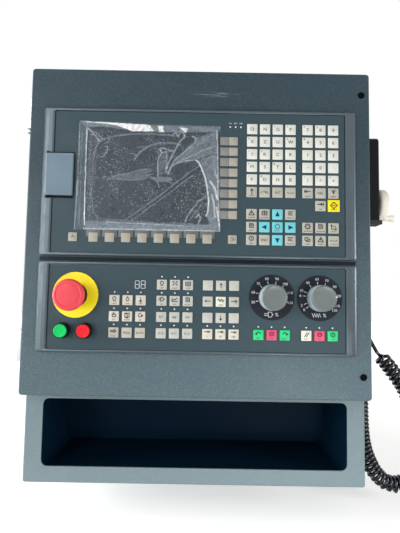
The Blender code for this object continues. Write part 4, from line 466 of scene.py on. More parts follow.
def make_materials():
    looks = {
        # the last colour of each paint is the painted sheen that pales it lower down
        "paint": textured_paint("slate_paint", (56, 71, 79), (86, 101, 109), (42, 55, 63), (150, 170, 175)),
        "door_paint": textured_paint(
            "slate_door_paint", (50, 68, 77), (80, 98, 106), (36, 50, 59), (108, 128, 135), scuffs=True,
        ),
        # painted shade: the pocket's paint is far darker than the door's, for the shade inside the deep
        # recess
        "pocket": textured_paint(
            "pocket_painted_shade", (6, 29, 46), (9, 34, 52), (4, 24, 39), (8, 33, 51), gloss=0.05, specks=0.0,
        ),
        "profile": coated_profile(),
        "overlay": overlay_film(),
        "hood": key_plastic("hood_grey", (97, 100, 99), (87, 90, 89)),
        "screen": dark_screen(),
        "film": wrinkled_film(),
        "black": moulded("black_plastic", (16, 18, 21), (24, 26, 30), specular=0.2),
        "hand": moulded("hand_unit_black", (8, 11, 14), (13, 16, 20), specular=0.15),
        "bracket": moulded("bracket_paint", (44, 51, 55), (36, 43, 47), 0.5, 900, 0.00008, 0.25),
        # painted shade: the door plugs are made darker and duller than black plastic, for the shade of the
        # holes they fill
        "plug": moulded("plug_painted_shade", (3, 4, 5), (6, 7, 9), 0.6, specular=0.05),
        "scale": moulded("scale_black", (24, 28, 36), (31, 35, 44), 0.5, 1800, 0.00003, 0.2),
        # painted shade: a dark blue-black strip for the shadowed gap between the units
        "gasket": moulded("gap_gasket", (14, 22, 32), (20, 29, 40), 0.6, 900, 0.00008, 0.15),
        "rubber": moulded("black_rubber", (18, 18, 19), (28, 28, 30), 0.6, 900, 0.00008, 0.2),
        "cord": moulded("cord_sheath", (2, 8, 20), (4, 12, 26), 0.14, 1500, 0.00001, 0.5, coat_weight=0.15),
        "flap": moulded("flap_cover", (98, 120, 136), (83, 103, 118), 0.4, 900, 0.00012),
        "stop_red": moulded("stop_red", (228, 70, 80), (216, 60, 72), 0.42, 1600, 0.00003, 0.35),
        "stop_yellow": moulded("stop_yellow", (253, 234, 12), (242, 220, 10), 0.45, 1700, 0.00003),
        "green_lens": moulded("green_lens", (0, 200, 98), (0, 178, 86), 0.3, 1300, 0.00003, 0.2),
        "red_lens": moulded("red_lens", (246, 32, 44), (226, 24, 36), 0.3, 1300, 0.00003, 0.2),
        "knob": moulded("knob_grey", (106, 113, 113), (95, 102, 103), 0.32, 1500, 0.00004),
        # painted highlight: the ribbed skirt is much paler than the knob's face, for the light it catches
        # from the left
        "knob_skirt_highlight": moulded("knob_ribs_painted_highlight", (172, 190, 197), (156, 174, 182), 0.26, 1500, 0.00004),
        "cream": moulded("wheel_cream", (250, 246, 231), (238, 233, 217), 0.34, 1400, 0.00003),
        "zinc": bare_metal("zinc_sheet", (172, 176, 180), (142, 148, 154), 0.36, (0.2, 0.2, 2.5)),
        "cast": bare_metal("cast_zinc", (186, 190, 192), (158, 162, 165), 0.32),
        "steel": bare_metal("bright_steel", (198, 199, 200), (160, 161, 163), 0.24),
        "board": circuit_board(),
        "floor": pale_floor(),
    }
    for name, colours in KEY_COLOURS.items():
        looks[name] = key_plastic(name, *colours)
    for name, colours in INK_COLOURS.items():
        looks[name] = printed(name, *colours)
    return looks


LOOKS = make_materials()


# Shapes. Their points are given across, up and out of the door, or in the frame of another side

def panel(across, up, out):
    """A point in front of the door, in the part's frame."""
    return (across, -DOOR_FRONT - out, up)


def hand_side(behind, up, out):
    """A point on the right side: behind the hand unit's middle plane, up, and out from the wall."""
    return (RIGHT_WALL + out, HAND_Y + behind, up)


def hinge_side(behind, up, out):
    """A point on the left side: back, up, and out to the left."""
    return (-out, behind, up)


def outline(across, up, width, height, corner, level, steps=4):
    """A rectangle with round corners."""
    corner = max(corner, 0.00005)
    points = []
    for sign_x, sign_y, start in ((1, 1, 0), (-1, 1, 90), (-1, -1, 180), (1, -1, 270)):
        centre_x = across + sign_x * (width / 2 - corner)
        centre_y = up + sign_y * (height / 2 - corner)
        for step in range(steps + 1):
            angle = math.radians(start + 90 * step / steps)
            points.append((centre_x + corner * math.cos(angle), centre_y + corner * math.sin(angle), level))
    return points


def circle(across, up, radius, level, steps):
    points = []
    for step in range(steps):
        angle = 2 * math.pi * step / steps
        points.append((across + radius * math.cos(angle), up + radius * math.sin(angle), level))
    return points


glyph_store = {}


def glyphs(words, weight):
    """Flat faces of a line of text at size one, centred: points, faces, outer edges and width.

    An M isn't thickened, because the sharp corners of its edge would cross."""
    if (words, weight) in glyph_store:
        return glyph_store[words, weight]
    curve = bpy.data.curves.new("glyphs", "FONT")
    curve.body = words
    curve.align_x = "CENTER"
    curve.align_y = "CENTER"
    curve.resolution_u = 3
    curve.offset = 0.0 if "M" in words else weight
    holder = bpy.data.objects.new("glyphs", curve)
    bpy.context.scene.collection.objects.link(holder)
    graph = bpy.context.evaluated_depsgraph_get()
    flat = bmesh.new()
    flat.from_mesh(holder.evaluated_get(graph).to_mesh())
    bmesh.ops.remove_doubles(flat, verts=flat.verts, dist=0.0005)
    bmesh.ops.dissolve_degenerate(flat, edges=flat.edges, dist=0.0002)
    flat.verts.index_update()
    points = [vertex.co.xy.copy() for vertex in flat.verts]
    xs, ys = [point.x for point in points], [point.y for point in points]
    middle = Vector(((min(xs) + max(xs)) / 2, (min(ys) + max(ys)) / 2))
    faces = [tuple(vertex.index for vertex in face.verts) for face in flat.faces]
    edges = []
    for edge in flat.edges:
        if len(edge.link_loops) == 1:
            loop = edge.link_loops[0]
            edges.append((loop.vert.index, loop.link_loop_next.vert.index))
    result = ([point - middle for point in points], faces, edges, max(xs) - min(xs))
    flat.free()
    bpy.data.objects.remove(holder)
    bpy.data.curves.remove(curve)
    glyph_store[words, weight] = result
    return result


class Shape:
    """Vertices and faces of one piece. Where puts a point of the shape's own frame in the part's."""

    def __init__(self, where=panel):
        self.where = where
        self.vertices = []
        self.faces = []

    def loft(self, loops, ring=False):
        """Skin over closed loops of points, capped at both ends or closed into a ring."""
        first, count = len(self.vertices), len(loops[0])
        for loop in loops:
            self.vertices += [self.where(*point) for point in loop]
        for index in range(len(loops) if ring else len(loops) - 1):
            here, there = first + index * count, first + (index + 1) % len(loops) * count
            for step in range(count):
                after = (step + 1) % count
                self.faces.append((here + step, here + after, there + after, there + step))
        if not ring:
            last = first + (len(loops) - 1) * count
            self.faces += [tuple(range(start, start + count)) for start in (first, last)]

    def tile(self, across, up, width, height, low, high, corner=0.0008, edge=0.00035):
        """A plate with round corners and a softened front edge."""
        self.loft([
            outline(across, up, width, height, corner, low),
            outline(across, up, width, height, corner, high - edge),
            outline(across, up, width - 0.6 * edge, height - 0.6 * edge, corner, high - 0.3 * edge),
            outline(across, up, width - 2 * edge, height - 2 * edge, corner - edge / 2, high),
        ])

    def key(self, across, up, width, height, face=KEY_FACE, corner=0.0008):
        self.tile(across, up, width, height, OVERLAY_TOP - SUNK, face, corner)

    def lamp(self, across, up, radius):
        """A small lamp that stands out of the overlay."""
        front = [(radius, OVERLAY_TOP + 0.0002), (radius - 0.0003, OVERLAY_TOP + 0.0004)]
        self.turned((across, up), [(radius, OVERLAY_TOP - INK), *front], 16)

    def turned(self, place, profile, steps=48, ring=False):
        """A turned piece. The profile lists (radius, out)."""
        self.loft([circle(*place, radius, out, steps) for radius, out in profile], ring)

    def slab(self, corners, levels):
        self.loft([[(x, y, level) for x, y in corners] for level in levels])

    def bar(self, start, end, width, levels):
        """A flat stroke from start to end."""
        start, end = Vector(start), Vector(end)
        run = (end - start).normalized()
        side = Vector((-run.y, run.x)) * width / 2
        cap = run * width * 0.25
        self.slab((start - cap - side, end + cap - side, end + cap + side, start - cap + side), levels)

    def path(self, points, width, levels):
        for start, end in zip(points, points[1:]):
            self.bar(start, end, width, levels)

    def text(self, words, across, up, height, levels, width=None, weight=0.0):
        """Generic lettering, centred, with its capitals so high and no wider than width."""
        points, faces, edges, run = glyphs(words, weight)
        scale = height / CAPITAL
        if width and run * scale > width:
            scale = width / run
        first, count = len(self.vertices), len(points)
        for level in levels:
            for point in points:
                x, y = point * scale
                self.vertices.append(self.where(across + x, up + y, level))
        for face in faces:
            self.faces.append(tuple(first + count + index for index in face))
            self.faces.append(tuple(first + index for index in reversed(face)))
        for one, other in edges:
            self.faces.append((first + one, first + other, first + count + other, first + count + one))


def piece(name, shape, look, body, slot, smooth=35, extra=()):
    """A mesh piece that rides on a body. Extra lists more looks."""
    mesh = bpy.data.meshes.new(name)
    mesh.from_pydata(shape.vertices, [], shape.faces)
    work = bmesh.new()
    work.from_mesh(mesh)
    bmesh.ops.recalc_face_normals(work, faces=work.faces)
    work.to_mesh(mesh)
    work.free()
    for used in (look, *extra):
        mesh.materials.append(LOOKS[used])
    mesh.polygons.foreach_set("use_smooth", [True] * len(mesh.polygons))
    mesh.set_sharp_from_angle(angle=math.radians(smooth))
    made = bpy.data.objects.new(name, mesh)
    bpy.context.scene.collection.objects.link(made)
    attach(made, body)
    return made


def turned_piece(name, replaced, where, place, profile, look, body, slot, steps, smooth, ring=False):
    """A turned piece that stands for a CAD node."""
    shape = Shape(where)
    shape.turned(place, profile, steps, ring)
    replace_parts(piece(name, shape, look, body, slot, smooth), replaced)


def soften(name, width, segments):
    """Joins the split corners of a CAD node and rounds its sharp edges."""
    weld = nodes[name].modifiers.new("weld", "WELD")
    weld.merge_threshold = 0.00001
    bevel = nodes[name].modifiers.new("bevel", "BEVEL")
    bevel.width = width
    bevel.segments = segments
    bevel.limit_method = "ANGLE"
    bevel.angle_limit = math.radians(35)
    bevel.harden_normals = False


# Camera, light and stage

def make_camera():
    turn = Matrix.Identity(3)
    for degrees, axis in CAMERA_TURNS:
        turn = turn @ Matrix.Rotation(math.radians(degrees), 3, axis)
    back = turn.transposed()
    right, forward, up = (back @ Vector(axis) for axis in ((1, 0, 0), (0, 1, 0), (0, 0, 1)))
    view = Matrix((right, up, -forward)).transposed().to_4x4()
    data = bpy.data.cameras.new("photo_camera")
    data.sensor_width = SENSOR
    data.lens = SENSOR * FOCAL_SHARE
    data.clip_start = 0.01
    camera = bpy.data.objects.new("photo_camera", data)
    camera.matrix_world = Matrix.Translation(CAMERA_PLACE) @ view
    bpy.context.scene.collection.objects.link(camera)
    bpy.context.scene.camera = camera


def area_light(name, place, target, size, power, height=None):
    data = bpy.data.lights.new(name, "AREA")
    data.shape = "RECTANGLE" if height else "DISK"
    data.size = size
    if height:
        data.size_y = height
    data.energy = power
    lamp = bpy.data.objects.new(name, data)
    lamp.visible_camera = False
    lamp.location = place
    lamp.rotation_euler = (Vector(target) - Vector(place)).to_track_quat("-Z", "Y").to_euler()
    bpy.context.scene.collection.objects.link(lamp)


def make_world():
    """White for what the camera, metal and glass see, and a plain even light on everything."""
    world = bpy.data.worlds.new("studio")
    world.use_nodes = True
    bpy.context.scene.world = world
    tree = world.node_tree
    tree.nodes.clear()
    seen = add_node(tree, "ShaderNodeLightPath", output="Is Camera Ray")
    for ray in ("Is Glossy Ray", "Is Transmission Ray"):
        other = add_node(tree, "ShaderNodeLightPath", output=ray)
        seen = add_node(tree, "ShaderNodeMath", {0: seen, 1: other}, operation="MAXIMUM")
    mixed = {0: seen}
    for socket, strength in ((1, WORLD_LIGHT), (2, 1.0)):
        settings = {"Color": (1, 1, 1, 1), "Strength": strength}
        mixed[socket] = add_node(tree, "ShaderNodeBackground", settings)
    mix = add_node(tree, "ShaderNodeMixShader", mixed)
    out = tree.nodes.new("ShaderNodeOutputWorld")
    tree.links.new(mix, out.inputs["Surface"])


def make_stage():
    make_world()
    area_light("window", (-1.50, -0.33, 0.10), (0, -0.19, 0), 0.9, 33.0)
    area_light("left_front", (-0.84, -1.50, 0.35), (0, -0.17, 0.05), 0.30, 7.0, height=1.3)
    area_light("low_front", (0.22, -0.62, -0.27), (0.10, -0.15, -0.24), 0.12, 0.8)
    area_light("right_fill", (1.15, -0.62, 0.05), (0.28, -0.1, 0.05), 0.4, 6.0)
    mesh = bpy.data.meshes.new("floor")
    corners = [(x * FLOOR_REACH, y * FLOOR_REACH, FLOOR_Z) for x, y in ((-1, -1), (1, -1), (1, 1), (-1, 1))]
    mesh.from_pydata(corners, [], [(0, 1, 2, 3)])
    mesh.materials.append(LOOKS["floor"])
    floor = bpy.data.objects.new("floor", mesh)
    bpy.context.scene.collection.objects.link(floor)
    bpy.context.scene.view_settings.view_transform = "Standard"


# Cord: the coil's route and the lead's, as out from the wall, behind the hand unit's middle, and height

COIL_ROUTE = (
    (0.0205, 0, 0.0627), (0.0200, 0, 0.0400), (0.0182, 0, -0.0200), (0.0173, 0, -0.1000),
    (0.0173, 0, -0.1900), (0.0185, 0, -0.2250), (0.0220, 0, -0.2480), (0.0290, 0, -0.2680),
    (0.0385, 0, -0.2850), (0.0500, 0, -0.2965), (0.0640, 0, -0.3020), (0.0790, 0, -0.3010),
    (0.0960, 0, -0.2915), (0.1080, 0, -0.2710), (0.1130, 0, -0.2430), (0.1080, 0, -0.2130),
    (0.0960, 0, -0.1850), (0.0810, 0, -0.1560), (0.0630, 0, -0.1310), (0.0478, 0, -0.1135),
)
LEAD_ROUTE = (
    (0.0434, 0, -0.1077), (0.0382, 0.0040, -0.0958), (0.0352, 0.0120, -0.0855), (0.0318, 0.0205, -0.0765),
    (0.0268, 0.0255, -0.0708), (0.0223, 0.0260, -0.0700),
)


def smooth_route(route, step):
    """Points a step apart on a smooth curve through the route."""
    route = [Vector(point) for point in route]
    ends = [route[0] * 2 - route[1], *route, route[-1] * 2 - route[-2]]
    dense = []
    for before, start, end, after in zip(ends, ends[1:], ends[2:], ends[3:]):
        for index in range(24):
            t = index / 24
            curve = 2 * start + (end - before) * t + (2 * before - 5 * start + 4 * end - after) * t * t
            dense.append((curve + (3 * start - before - 3 * end + after) * t ** 3) / 2)
    dense.append(ends[-2])
    points, run, goal = [dense[0]], 0.0, step
    for here, there in zip(dense, dense[1:]):
        length = (there - here).length
        while run + length >= goal:
            points.append(here.lerp(there, (goal - run) / length))
            goal += step
        run += length
    points.append(dense[-1])
    return points


def coil_points():
    """The helix round the coil's route, drawn in to a straight cord at both ends."""
    step = 0.0005
    axis = smooth_route(COIL_ROUTE, step)
    total = len(axis) * step
    side = Vector((0, 1, 0))
    points, phase, last_phase = [], 0.0, -math.inf
    for index, centre in enumerate(axis):
        along = (axis[min(index + 1, len(axis) - 1)] - axis[max(index - 1, 0)]).normalized()
        side = (side - along * side.dot(along)).normalized()
        other = along.cross(side)
        run = index * step
        share = min(max((run - TIGHT_UNTIL) / OPENING_RUN, 0), 1)
        phase += 2 * math.pi * step / (TIGHT_PITCH + (OPEN_PITCH - TIGHT_PITCH) * share)
        blend = min(run / COIL_START, (total - run) / COIL_END, 1)
        radius = COIL_RADIUS * (1 - math.cos(math.pi * blend)) / 2
        if phase - last_phase >= 2 * math.pi / COIL_STEPS:
            points.append(centre + radius * (math.cos(phase) * side + math.sin(phase) * other))
            last_phase = phase
    return points


def make_cord():
    """One curve: out of the strain relief, down the coil, round the hanging loop and up into the gland."""
    coil = coil_points()
    points = [coil[0]]
    for point in coil[1:] + smooth_route(LEAD_ROUTE, 0.004):
        if (point - points[-1]).length > SHORTEST_STEP:
            points.append(point)
    curve = bpy.data.curves.new("curly_cord_cable", "CURVE")
    curve.dimensions = "3D"
    curve.bevel_depth = CORD_DIAMETER / 2
    curve.bevel_resolution = 3
    curve.use_fill_caps = True
    spline = curve.splines.new("POLY")
    spline.points.add(len(points) - 1)
    for target, (out, behind, height) in zip(spline.points, points):
        target.co = (*hand_side(behind, height, out), 1)
    spline.use_smooth = True
    curve.materials.append(LOOKS["cord"])
    cord = bpy.data.objects.new("curly_cord_cable", curve)
    bpy.context.scene.collection.objects.link(cord)
    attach(cord, "cabinet")
    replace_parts(cord, "curly_cord", "cord_lead")
    out, behind, height = COIL_ROUTE[0]
    length = sum((there - here).length for here, there in zip(points, points[1:]))
    hand_side(behind, height, out)


# Icons, as strokes in hundredths of a key's width about the middle of the key

def arc(centre, radius, start, end, steps=10):
    points = []
    for step in range(steps + 1):
        angle = math.radians(start + (end - start) * step / steps)
        points.append((centre[0] + radius * math.cos(angle), centre[1] + radius * math.sin(angle)))
    return points


def arrow(start, end, head=16):
    """A shaft and the two barbs at its end."""
    tip = Vector(end)
    run = (tip - Vector(start)).normalized() * head
    side = Vector((-run.y, run.x)) * 0.7
    return [[start, end], [tuple(tip - run + side), end, tuple(tip - run - side)]]


ICONS = {
    "blank_bar": [[(-27, 5), (-27, -5), (27, -5), (27, 5)]],
    "ring": [arc((0, 0), 20, 0, 360, 24)],
    "gear": [arc((0, 8), 17, 0, 360, 12)] + [
        [(20 * math.cos(a), 8 + 20 * math.sin(a)), (29 * math.cos(a), 8 + 29 * math.sin(a))]
        for a in (0, 0.785, 1.571, 2.356, 3.142, 3.927, 4.712, 5.498)
    ],
    "lamp": [arc((0, 12), 15, -50, 230), [(-8, -3), (-8, -12), (8, -12), (8, -3)]],
    "drop": [[(0, 30), (-13, 5)], arc((0, 2), 13, 180, 360, 8), [(13, 5), (0, 30)]],
    "loop": [arc((0, 10), 17, 60, 350, 12), *arrow((13, 0), (20, 14), 12)],
    "clamp": [[(-25, 25), (-10, 25), (-10, -5), (-25, -5)], [(25, 25), (10, 25), (10, -5), (25, -5)]],
    "page": [
        [(-17, 28), (10, 28), (17, 20), (17, -8), (-17, -8), (-17, 28)],
        [(-9, 16), (9, 16)], [(-9, 6), (9, 6)],
    ],
    "chart": [[(-25, 27), (-25, -8), (25, -8)], [(-18, 0), (-5, 16), (5, 6), (20, 24)]],
    "hand": [[(-15, -8), (-15, 12), (-7, 12), (-7, 27), (1, 27), (1, 14), (17, 14), (17, -8), (-15, -8)]],
    "door": [
        [(-20, -10), (-20, 26), (20, 26), (20, -10), (-20, -10)],
        [(-20, 26), (2, 16), (2, -20), (-20, -10)],
    ],
    "tool": [[(-25, 5), (5, 5), (5, -5), (25, 10), (5, 25), (5, 15), (-25, 15), (-25, 5)]],
    "wave": [[(-28, 10), (-20, 22), (-8, -2), (4, 22), (16, -2), (28, 12)]],
    "spindle": [
        [(-28, 18), (-6, 18)], [(-28, 2), (-6, 2)], arc((4, 10), 17, -90, 90, 8),
        [(4, 27), (-6, 27), (-6, -7), (4, -7)], [(21, 10), (30, 10)],
    ],
    "slash": [[(-20, -15), (8, 25)], [(-2, -15), (26, 25)]],
    "stop": [arc((0, 8), 18, 0, 360, 12), [(-7, 8), (7, 8)]],
    "start": [arc((0, 8), 20, 0, 360, 12), [(0, -2), (0, 18)]],
    "turn_left": [arc((0, 2), 20, 20, 170), *arrow((-19, 10), (-20, -2), 12)],
    "turn_right": [arc((0, 2), 20, 160, 10), *arrow((19, 10), (20, -2), 12)],
    "left": arrow((28, 8), (-28, 8)),
    "right": arrow((-28, 8), (28, 8)),
    "down": arrow((0, 25), (0, -20)),
    "up": arrow((0, -20), (0, 25)),
    "step": [[(-28, 12), (10, 12)], *arrow((-10, 12), (16, 12), 12), [(24, 22), (24, 2)]],
    "diamond": [[(0, 26), (26, 0), (0, -26), (-26, 0), (0, 26)], [(-10, 0), (10, 0)]],
    "insert": [[(-20, 20), (20, 20)], *arrow((0, -10), (0, 16), 12)],
    "back": [*arrow((25, 10), (-22, 10), 14), [(-27, 22), (-27, -2)]],
    "grid": [
        [(-22, 24), (22, 24), (22, -10), (-22, -10), (-22, 24)],
        [(0, 24), (0, -10)], [(-22, 7), (22, 7)],
    ],
    "note": [[(-22, 22), (22, 22)], [(-22, 8), (12, 8)], [(-22, -6), (18, -6)]],
    "alarm": [[(0, 28), (24, -12), (-24, -12), (0, 28)], [(0, 14), (0, 2)]],
    "help": [arc((0, 10), 20, 0, 360, 16), [(0, 0), (0, 13)], [(0, 18), (0, 22)]],
    "axes": [*arrow((-18, -12), (-18, 28), 10), *arrow((-18, -12), (27, -12), 10), [(-2, 10), (20, 10)]],
    "files": [
        [(-24, 24), (2, 24), (2, 0), (-24, 0), (-24, 24)],
        [(-10, -2), (-10, -10), (20, -10), (20, 12), (4, 12)],
    ],
}
THIN_ICONS = ("blank_bar", "ring")


def icon(shape, name, across, up, size, stroke=ICON_STROKE):
    for points in ICONS[name]:
        points = [(across + x * size / 100, up + y * size / 100) for x, y in points]
        shape.path(points, size * stroke, KEY_PRINT)


def triangle(shape, name, across, up, size):
    turn = {"tri_up": 90, "tri_left": 180, "tri_down": 270, "tri_right": 0}[name]
    corners = []
    for angle in (0, 130, 230):
        angle = math.radians(turn + angle)
        corners.append((across + size * math.cos(angle), up + size * math.sin(angle)))
    shape.slab(corners, KEY_PRINT)


def print_legend(ink, legend, across, up, size):
    """Prints a key's legend: a letter or short word, or an icon or triangle named after a colon.

    Small words after a bar go below it."""
    if "|" in legend:
        legend, caption = legend.split("|")
        height = size * CAPTION_HEIGHT
        ink.text(caption, across, up - size * CAPTION_DROP, height, KEY_PRINT, size * WORD_WIDTH, BOLD)
        up += size * CAPTIONED_RISE
        size *= CAPTIONED_SIZE
    name = legend[1:]
    if name in THIN_ICONS:
        icon(ink, name, across, up, size, THIN_STROKE)
    elif name.startswith("tri"):
        triangle(ink, name, across, up, size * TRIANGLE)
    elif legend.startswith(":"):
        icon(ink, name, across, up - size * ICON_DROP, size)
    elif legend:
        height = size * (LETTER_HEIGHT if len(legend) == 1 else WORD_HEIGHT)
        ink.text(legend, across, up, height, KEY_PRINT, size * WORD_WIDTH, BOLD)


# Door, cabinet and the CAD nodes that keep their shape

NODE_LOOKS = {
    "paint": "cabinet_shell",
    "door_paint": "door_panel",
    "pocket": "storage_pocket",
    "rubber": "door_seal cable_grommet hand_unit_strain_relief",
    "plug": "upper_door_plug lower_door_plug",
    "bracket": "hand_unit_holder",
    "hand": "hand_unit_case hand_unit_cover",
    "profile": "upper_bezel lower_bezel",
    "overlay": "upper_overlay lower_overlay digit_display",
    "screen": "screen_glass",
    "flap": "port_flap",
    "scale": "spindle_dial_scale feed_dial_scale",
    "stop_yellow": "estop_legend_plate",
    "zinc": "upper_rear_housing lower_rear_housing display_module",
    "board": "upper_key_board lower_key_board control_board",
    "cast": "upper_hinge_fixed_leaf upper_hinge_door_leaf lower_hinge_fixed_leaf lower_hinge_door_leaf",
    "steel": "upper_hinge_pin lower_hinge_pin estop_stem spindle_shaft feed_shaft handwheel_encoder "
             "handwheel_shaft handwheel_crank_pin",
    "black": "cabinet_gland cabinet_gland_nut port_block estop_collar estop_contact_block "
             "green_button_contact red_button_contact spindle_switch feed_switch",
}


def dress_nodes():
    for look, names in NODE_LOOKS.items():
        for name in names.split():
            slots = nodes[name].data.materials
            slots.clear()
            slots.append(LOOKS[look])
    soften("door_panel", 0.0007, 3)
    soften("cabinet_shell", 0.0006, 2)
    soften("hand_unit_case", 0.0006, 3)


def dome_screw(shape, across, up, seat):
    """Dome head with a hexagonal socket, on a washer."""
    top = seat + WASHER
    profile = [(SCREW_RADIUS * 1.25, seat), (SCREW_RADIUS * 1.25, top), (SCREW_RADIUS, top)]
    for step in range(1, 7):
        angle = math.radians(90 * step / 7)
        profile.append((SCREW_RADIUS * math.cos(angle) ** 0.6, top + SCREW_RISE * math.sin(angle)))
    socket = SCREW_RADIUS * 0.42
    profile += [(socket, top + SCREW_RISE), (socket, top + SCREW_RISE * 0.35)]
    shape.turned((across, up), profile, 24)


def make_hinge_screws():
    for body, side in (("cabinet", HINGE_HOLE), ("door", -HINGE_HOLE)):
        screws = Shape(hinge_side)
        for centre in HINGE_CENTRES:
            for up in (-HINGE_HOLE, HINGE_HOLE):
                dome_screw(screws, HINGE_Y + side, centre + up, HINGE_FACE)
        piece(f"hinge_screws_{body}", screws, "steel", body, "bright_steel")


def make_gap_strip():
    """A dark rubber-like strip in the gap between the two units: painted shade for the shadow in that gap."""
    middle = (UPPER_Z - UPPER_HALF + LOWER_Z + LOWER_HALF) / 2
    strip = Shape()
    strip.tile(0, middle, GAP_WIDTH, GAP_HEIGHT, low=0.0002, high=0.0016, corner=0.0006, edge=0.0004)
    piece("unit_gap_gasket", strip, "gasket", "door", "black_rubber")


# Upper unit

CURSOR_KEYS = (
    (":alarm|CANCEL", ":grid|CHANNEL", ":tri_up", ":note|PAGE UP"),
    (":page|NEXT", ":tri_left", ":ring|SELECT", ":tri_right"),
    (":help|HELP", "END", ":tri_down", ":note|PAGE DN"),
)
AREA_KEYS = (
    (":gear|MACHINE", ":page|PROGRAM", ":axes|OFFSET"),
    (":files|FILES", ":alarm|ALARM", ":blank_bar|CUSTOM"),
)
# Small signs printed in the corner of most white keys
SHIFT_SIGNS = "!?<>()[]&*#@:;%$"
PLAIN_KEYS = "ONCR9Z.-06HB"


def key_grid(look, left, top, *lines):
    """Place, look and legend of each key in lines of keys."""
    for row, line in enumerate(lines):
        for column, legend in enumerate(line):
            cyan = legend.startswith((":tri", ":ring"))
            yield left + column * KEY_PITCH, top - row * KEY_PITCH, "cyan_key" if cyan else look, legend


def upper_keys():
    yield from key_grid("white_key", LETTER_LEFT, TOP_ROW, "ONGP", "XZUW", "IKCR", "MSTL", "FDHB")
    yield from key_grid("white_key", NUMBER_LEFT, TOP_ROW, "789", "456", "123", "-0.", "/=+")
    yield from key_grid("grey_key", LETTER_LEFT, LAST_ROW, (":up|SHIFT", "CTRL", "ALT", ":blank_bar"))
    yield from key_grid("grey_key", NUMBER_LEFT, LAST_ROW, (":back|BACK", "DEL", ":insert|INSERT"))
    input_row = LAST_ROW - KEY_PITCH
    yield from key_grid("grey_key", NUMBER_LEFT + KEY_PITCH, input_row, (":step|TAB",))
    input_left = NUMBER_LEFT + 2 * KEY_PITCH + YELLOW_SHIFT
    yield from key_grid("yellow_key", input_left, input_row + YELLOW_SHIFT, (":diamond|INPUT",))
    yield from key_grid("grey_key", LETTER_LEFT, CURSOR_ROW, *CURSOR_KEYS)
    yield from key_grid("grey_key", NUMBER_LEFT, CURSOR_ROW - KEY_PITCH, *AREA_KEYS)


def finish_upper_unit():
    tiles = {}
    ink, arrows = Shape(), Shape()
    for across, up, look, legend in upper_keys():
        up += UPPER_Z
        size = YELLOW_KEY if look == "yellow_key" else UPPER_KEY
        tiles.setdefault(look, Shape()).key(across, up, size, size)
        print_legend(arrows if legend.startswith(":tri") else ink, legend, across, up, size)
        if look == "white_key" and legend not in PLAIN_KEYS:
            sign = SHIFT_SIGNS[(7 + 5 * ord(legend)) % len(SHIFT_SIGNS)]
            x, y = (share * size for share in SIGN_SHIFT)
            ink.text(sign, across + x, up + y, size * SIGN_HEIGHT, KEY_PRINT, weight=BOLD)
    side, shade, hood = (tiles.setdefault(look, Shape()) for look in ("side_key", "shade_key", "hood"))
    row = UPPER_Z + SOFT_KEY_ROW
    half = SIDE_KEY_WIDTH / 2
    for index in range(SOFT_KEY_COUNT):
        up = UPPER_Z + SIDE_KEY_TOP - index * SIDE_KEY_PITCH
        shade.key(SIDE_KEY_LEFT - half / 2, up, half - SIDE_KEY_GAP, SIDE_KEY_HEIGHT)
        side.key(SIDE_KEY_LEFT + half / 2, up, half - SIDE_KEY_GAP, SIDE_KEY_HEIGHT)
        across = SOFT_KEY_LEFT + index * SOFT_KEY_PITCH
        hood.key(across, UPPER_Z + HOOD_CENTRE, HOOD_WIDTH, HOOD_HEIGHT, HOOD_FACE, HOOD_CORNER)
        side.key(across, row, SOFT_KEY, SOFT_KEY)
    for across, points in (
        (RECALL_X, ((-0.0022, -0.0016), (0, 0.0022), (0.0022, -0.0016))),
        (MORE_X, ((-0.0018, 0.0022), (0.0022, 0), (-0.0018, -0.0022))),
    ):
        side.key(across, row, END_KEY, END_KEY)
        ink.path([(across + x, row + y) for x, y in points], END_STROKE, KEY_PRINT)
    for look, shape in tiles.items():
        piece(f"upper_{look}s", shape, "soft_key" if look == "side_key" else look, "door", "overlay_film")
    piece("upper_legends", ink, "dark_ink", "door", "overlay_film")
    piece("cursor_arrows", arrows, "blue_ink", "door", "overlay_film")
    lamps = Shape()
    up = UPPER_Z + UPPER_LAMP_Z
    for across, words in UPPER_LAMPS:
        lamps.lamp(across, up, UPPER_LAMP)
        lamps.text(words, across, up + LAMP_WORD_RISE, LAMP_WORD_HEIGHT, OVERLAY_PRINT, LAMP_WORD_WIDTH)
    piece("upper_lamps", lamps, "white_ink", "door", "overlay_film")
